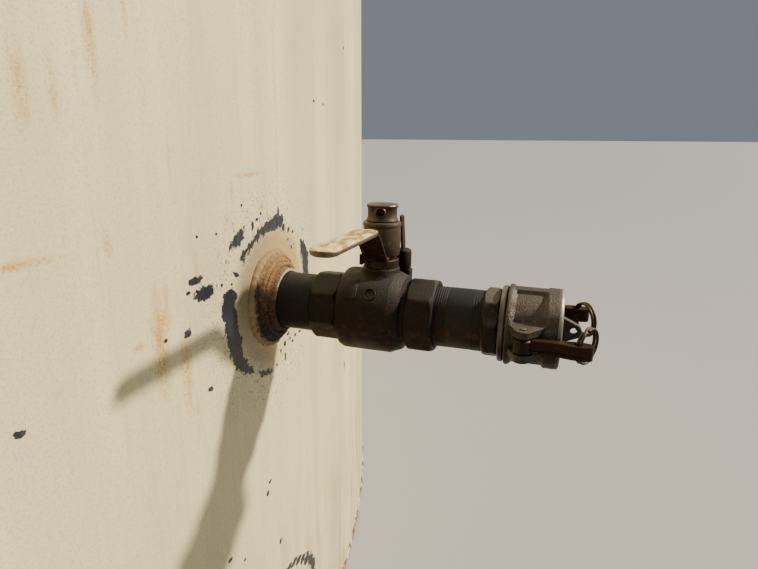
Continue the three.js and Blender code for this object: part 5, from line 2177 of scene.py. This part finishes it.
@dataclass
class Studio:
    """The floor, the light and the camera."""

    floor_half: float = 160.0
    floor_colour: str = "ABACAD"
    key_travels: tuple[float, float, float] = (-0.748, -0.359, -0.557)
    key_strength: float = 7.4
    key_spread: float = 3.5
    key_colour: str = "FFF1DC"
    fill_strength: float = 0.34
    fill_colour: str = "C6CFDF"
    eye: tuple[float, float, float] = (2111.3, -533.6, 734.0)
    azimuth: float = 16.878
    pitch: float = 14.632
    roll: float = 0.316
    lens: float = 26.85
    sensor: float = 36.0

    def build(self) -> None:
        """Sets the stage."""
        self.floor()
        self.light()
        self.camera()

    def floor(self) -> None:
        """Lays the plain pale floor at the level that the tank stands on."""
        reach = self.floor_half
        corners = [(-reach, -reach, 0), (reach, -reach, 0), (reach, reach, 0), (-reach, reach, 0)]
        mesh = bpy.data.meshes.new("floor")
        mesh.from_pydata(corners, [], [(0, 1, 2, 3)])
        floor = placed("floor", mesh)
        g = Graph("studio_floor")
        g.shade(Base_Color=linear(self.floor_colour), Roughness=0.9)
        mesh.materials.append(g.material)

    def light(self) -> None:
        """Hangs one soft key light and fills the room evenly."""
        key = bpy.data.lights.new("key", "SUN")
        key.energy = self.key_strength
        key.angle = math.radians(self.key_spread)
        key.color = linear(self.key_colour)[:3]
        lamp = placed("key", key)
        lamp.rotation_mode = "QUATERNION"
        lamp.rotation_quaternion = Vector(self.key_travels).to_track_quat("-Z", "Y")
        world = bpy.data.worlds.new("studio")
        world.use_nodes = True
        room = world.node_tree.nodes["Background"]
        room.inputs["Color"].default_value = linear(self.fill_colour)
        room.inputs["Strength"].default_value = self.fill_strength
        bpy.context.scene.world = world

    def camera(self) -> None:
        """Sets the camera where the photograph was taken from."""
        data = bpy.data.cameras.new("camera")
        data.lens = self.lens
        data.sensor_width = self.sensor
        data.clip_start = 0.02
        data.clip_end = 200.0
        camera = placed("camera", data)
        turned_to = spun(self.azimuth) @ spun(90 - self.pitch, "X") @ spun(self.roll)
        camera.matrix_world = Matrix.Translation(Vector(self.eye) * MM) @ turned_to
        bpy.context.scene.camera = camera


# The frame's solids inside the valve that no piece takes the place of, each with its finish.
HIDDEN_NODES = {"valve_ball": BALL, "valve_stem": STEM_STEEL}


def main() -> None:
    """Builds the stage and every part of the tank."""
    logging.basicConfig(level=logging.INFO, format="%(name)s: %(message)s")
    tank = [Shell(), Roof(), Lug("lug_near"), Lug("lug_far")]
    parts = [Studio(), *tank, Spud(), BallValve(), Lever(), CamCoupling(), Drain()]
    for part in parts:
        log.info("building %s", type(part).__name__)
        part.build()
    for node, finish in HIDDEN_NODES.items():
        mesh = frame["nodes"][node].data
        mesh.materials.clear()
        mesh.materials.append(finish.material())


if __name__ == "__main__":
    main()
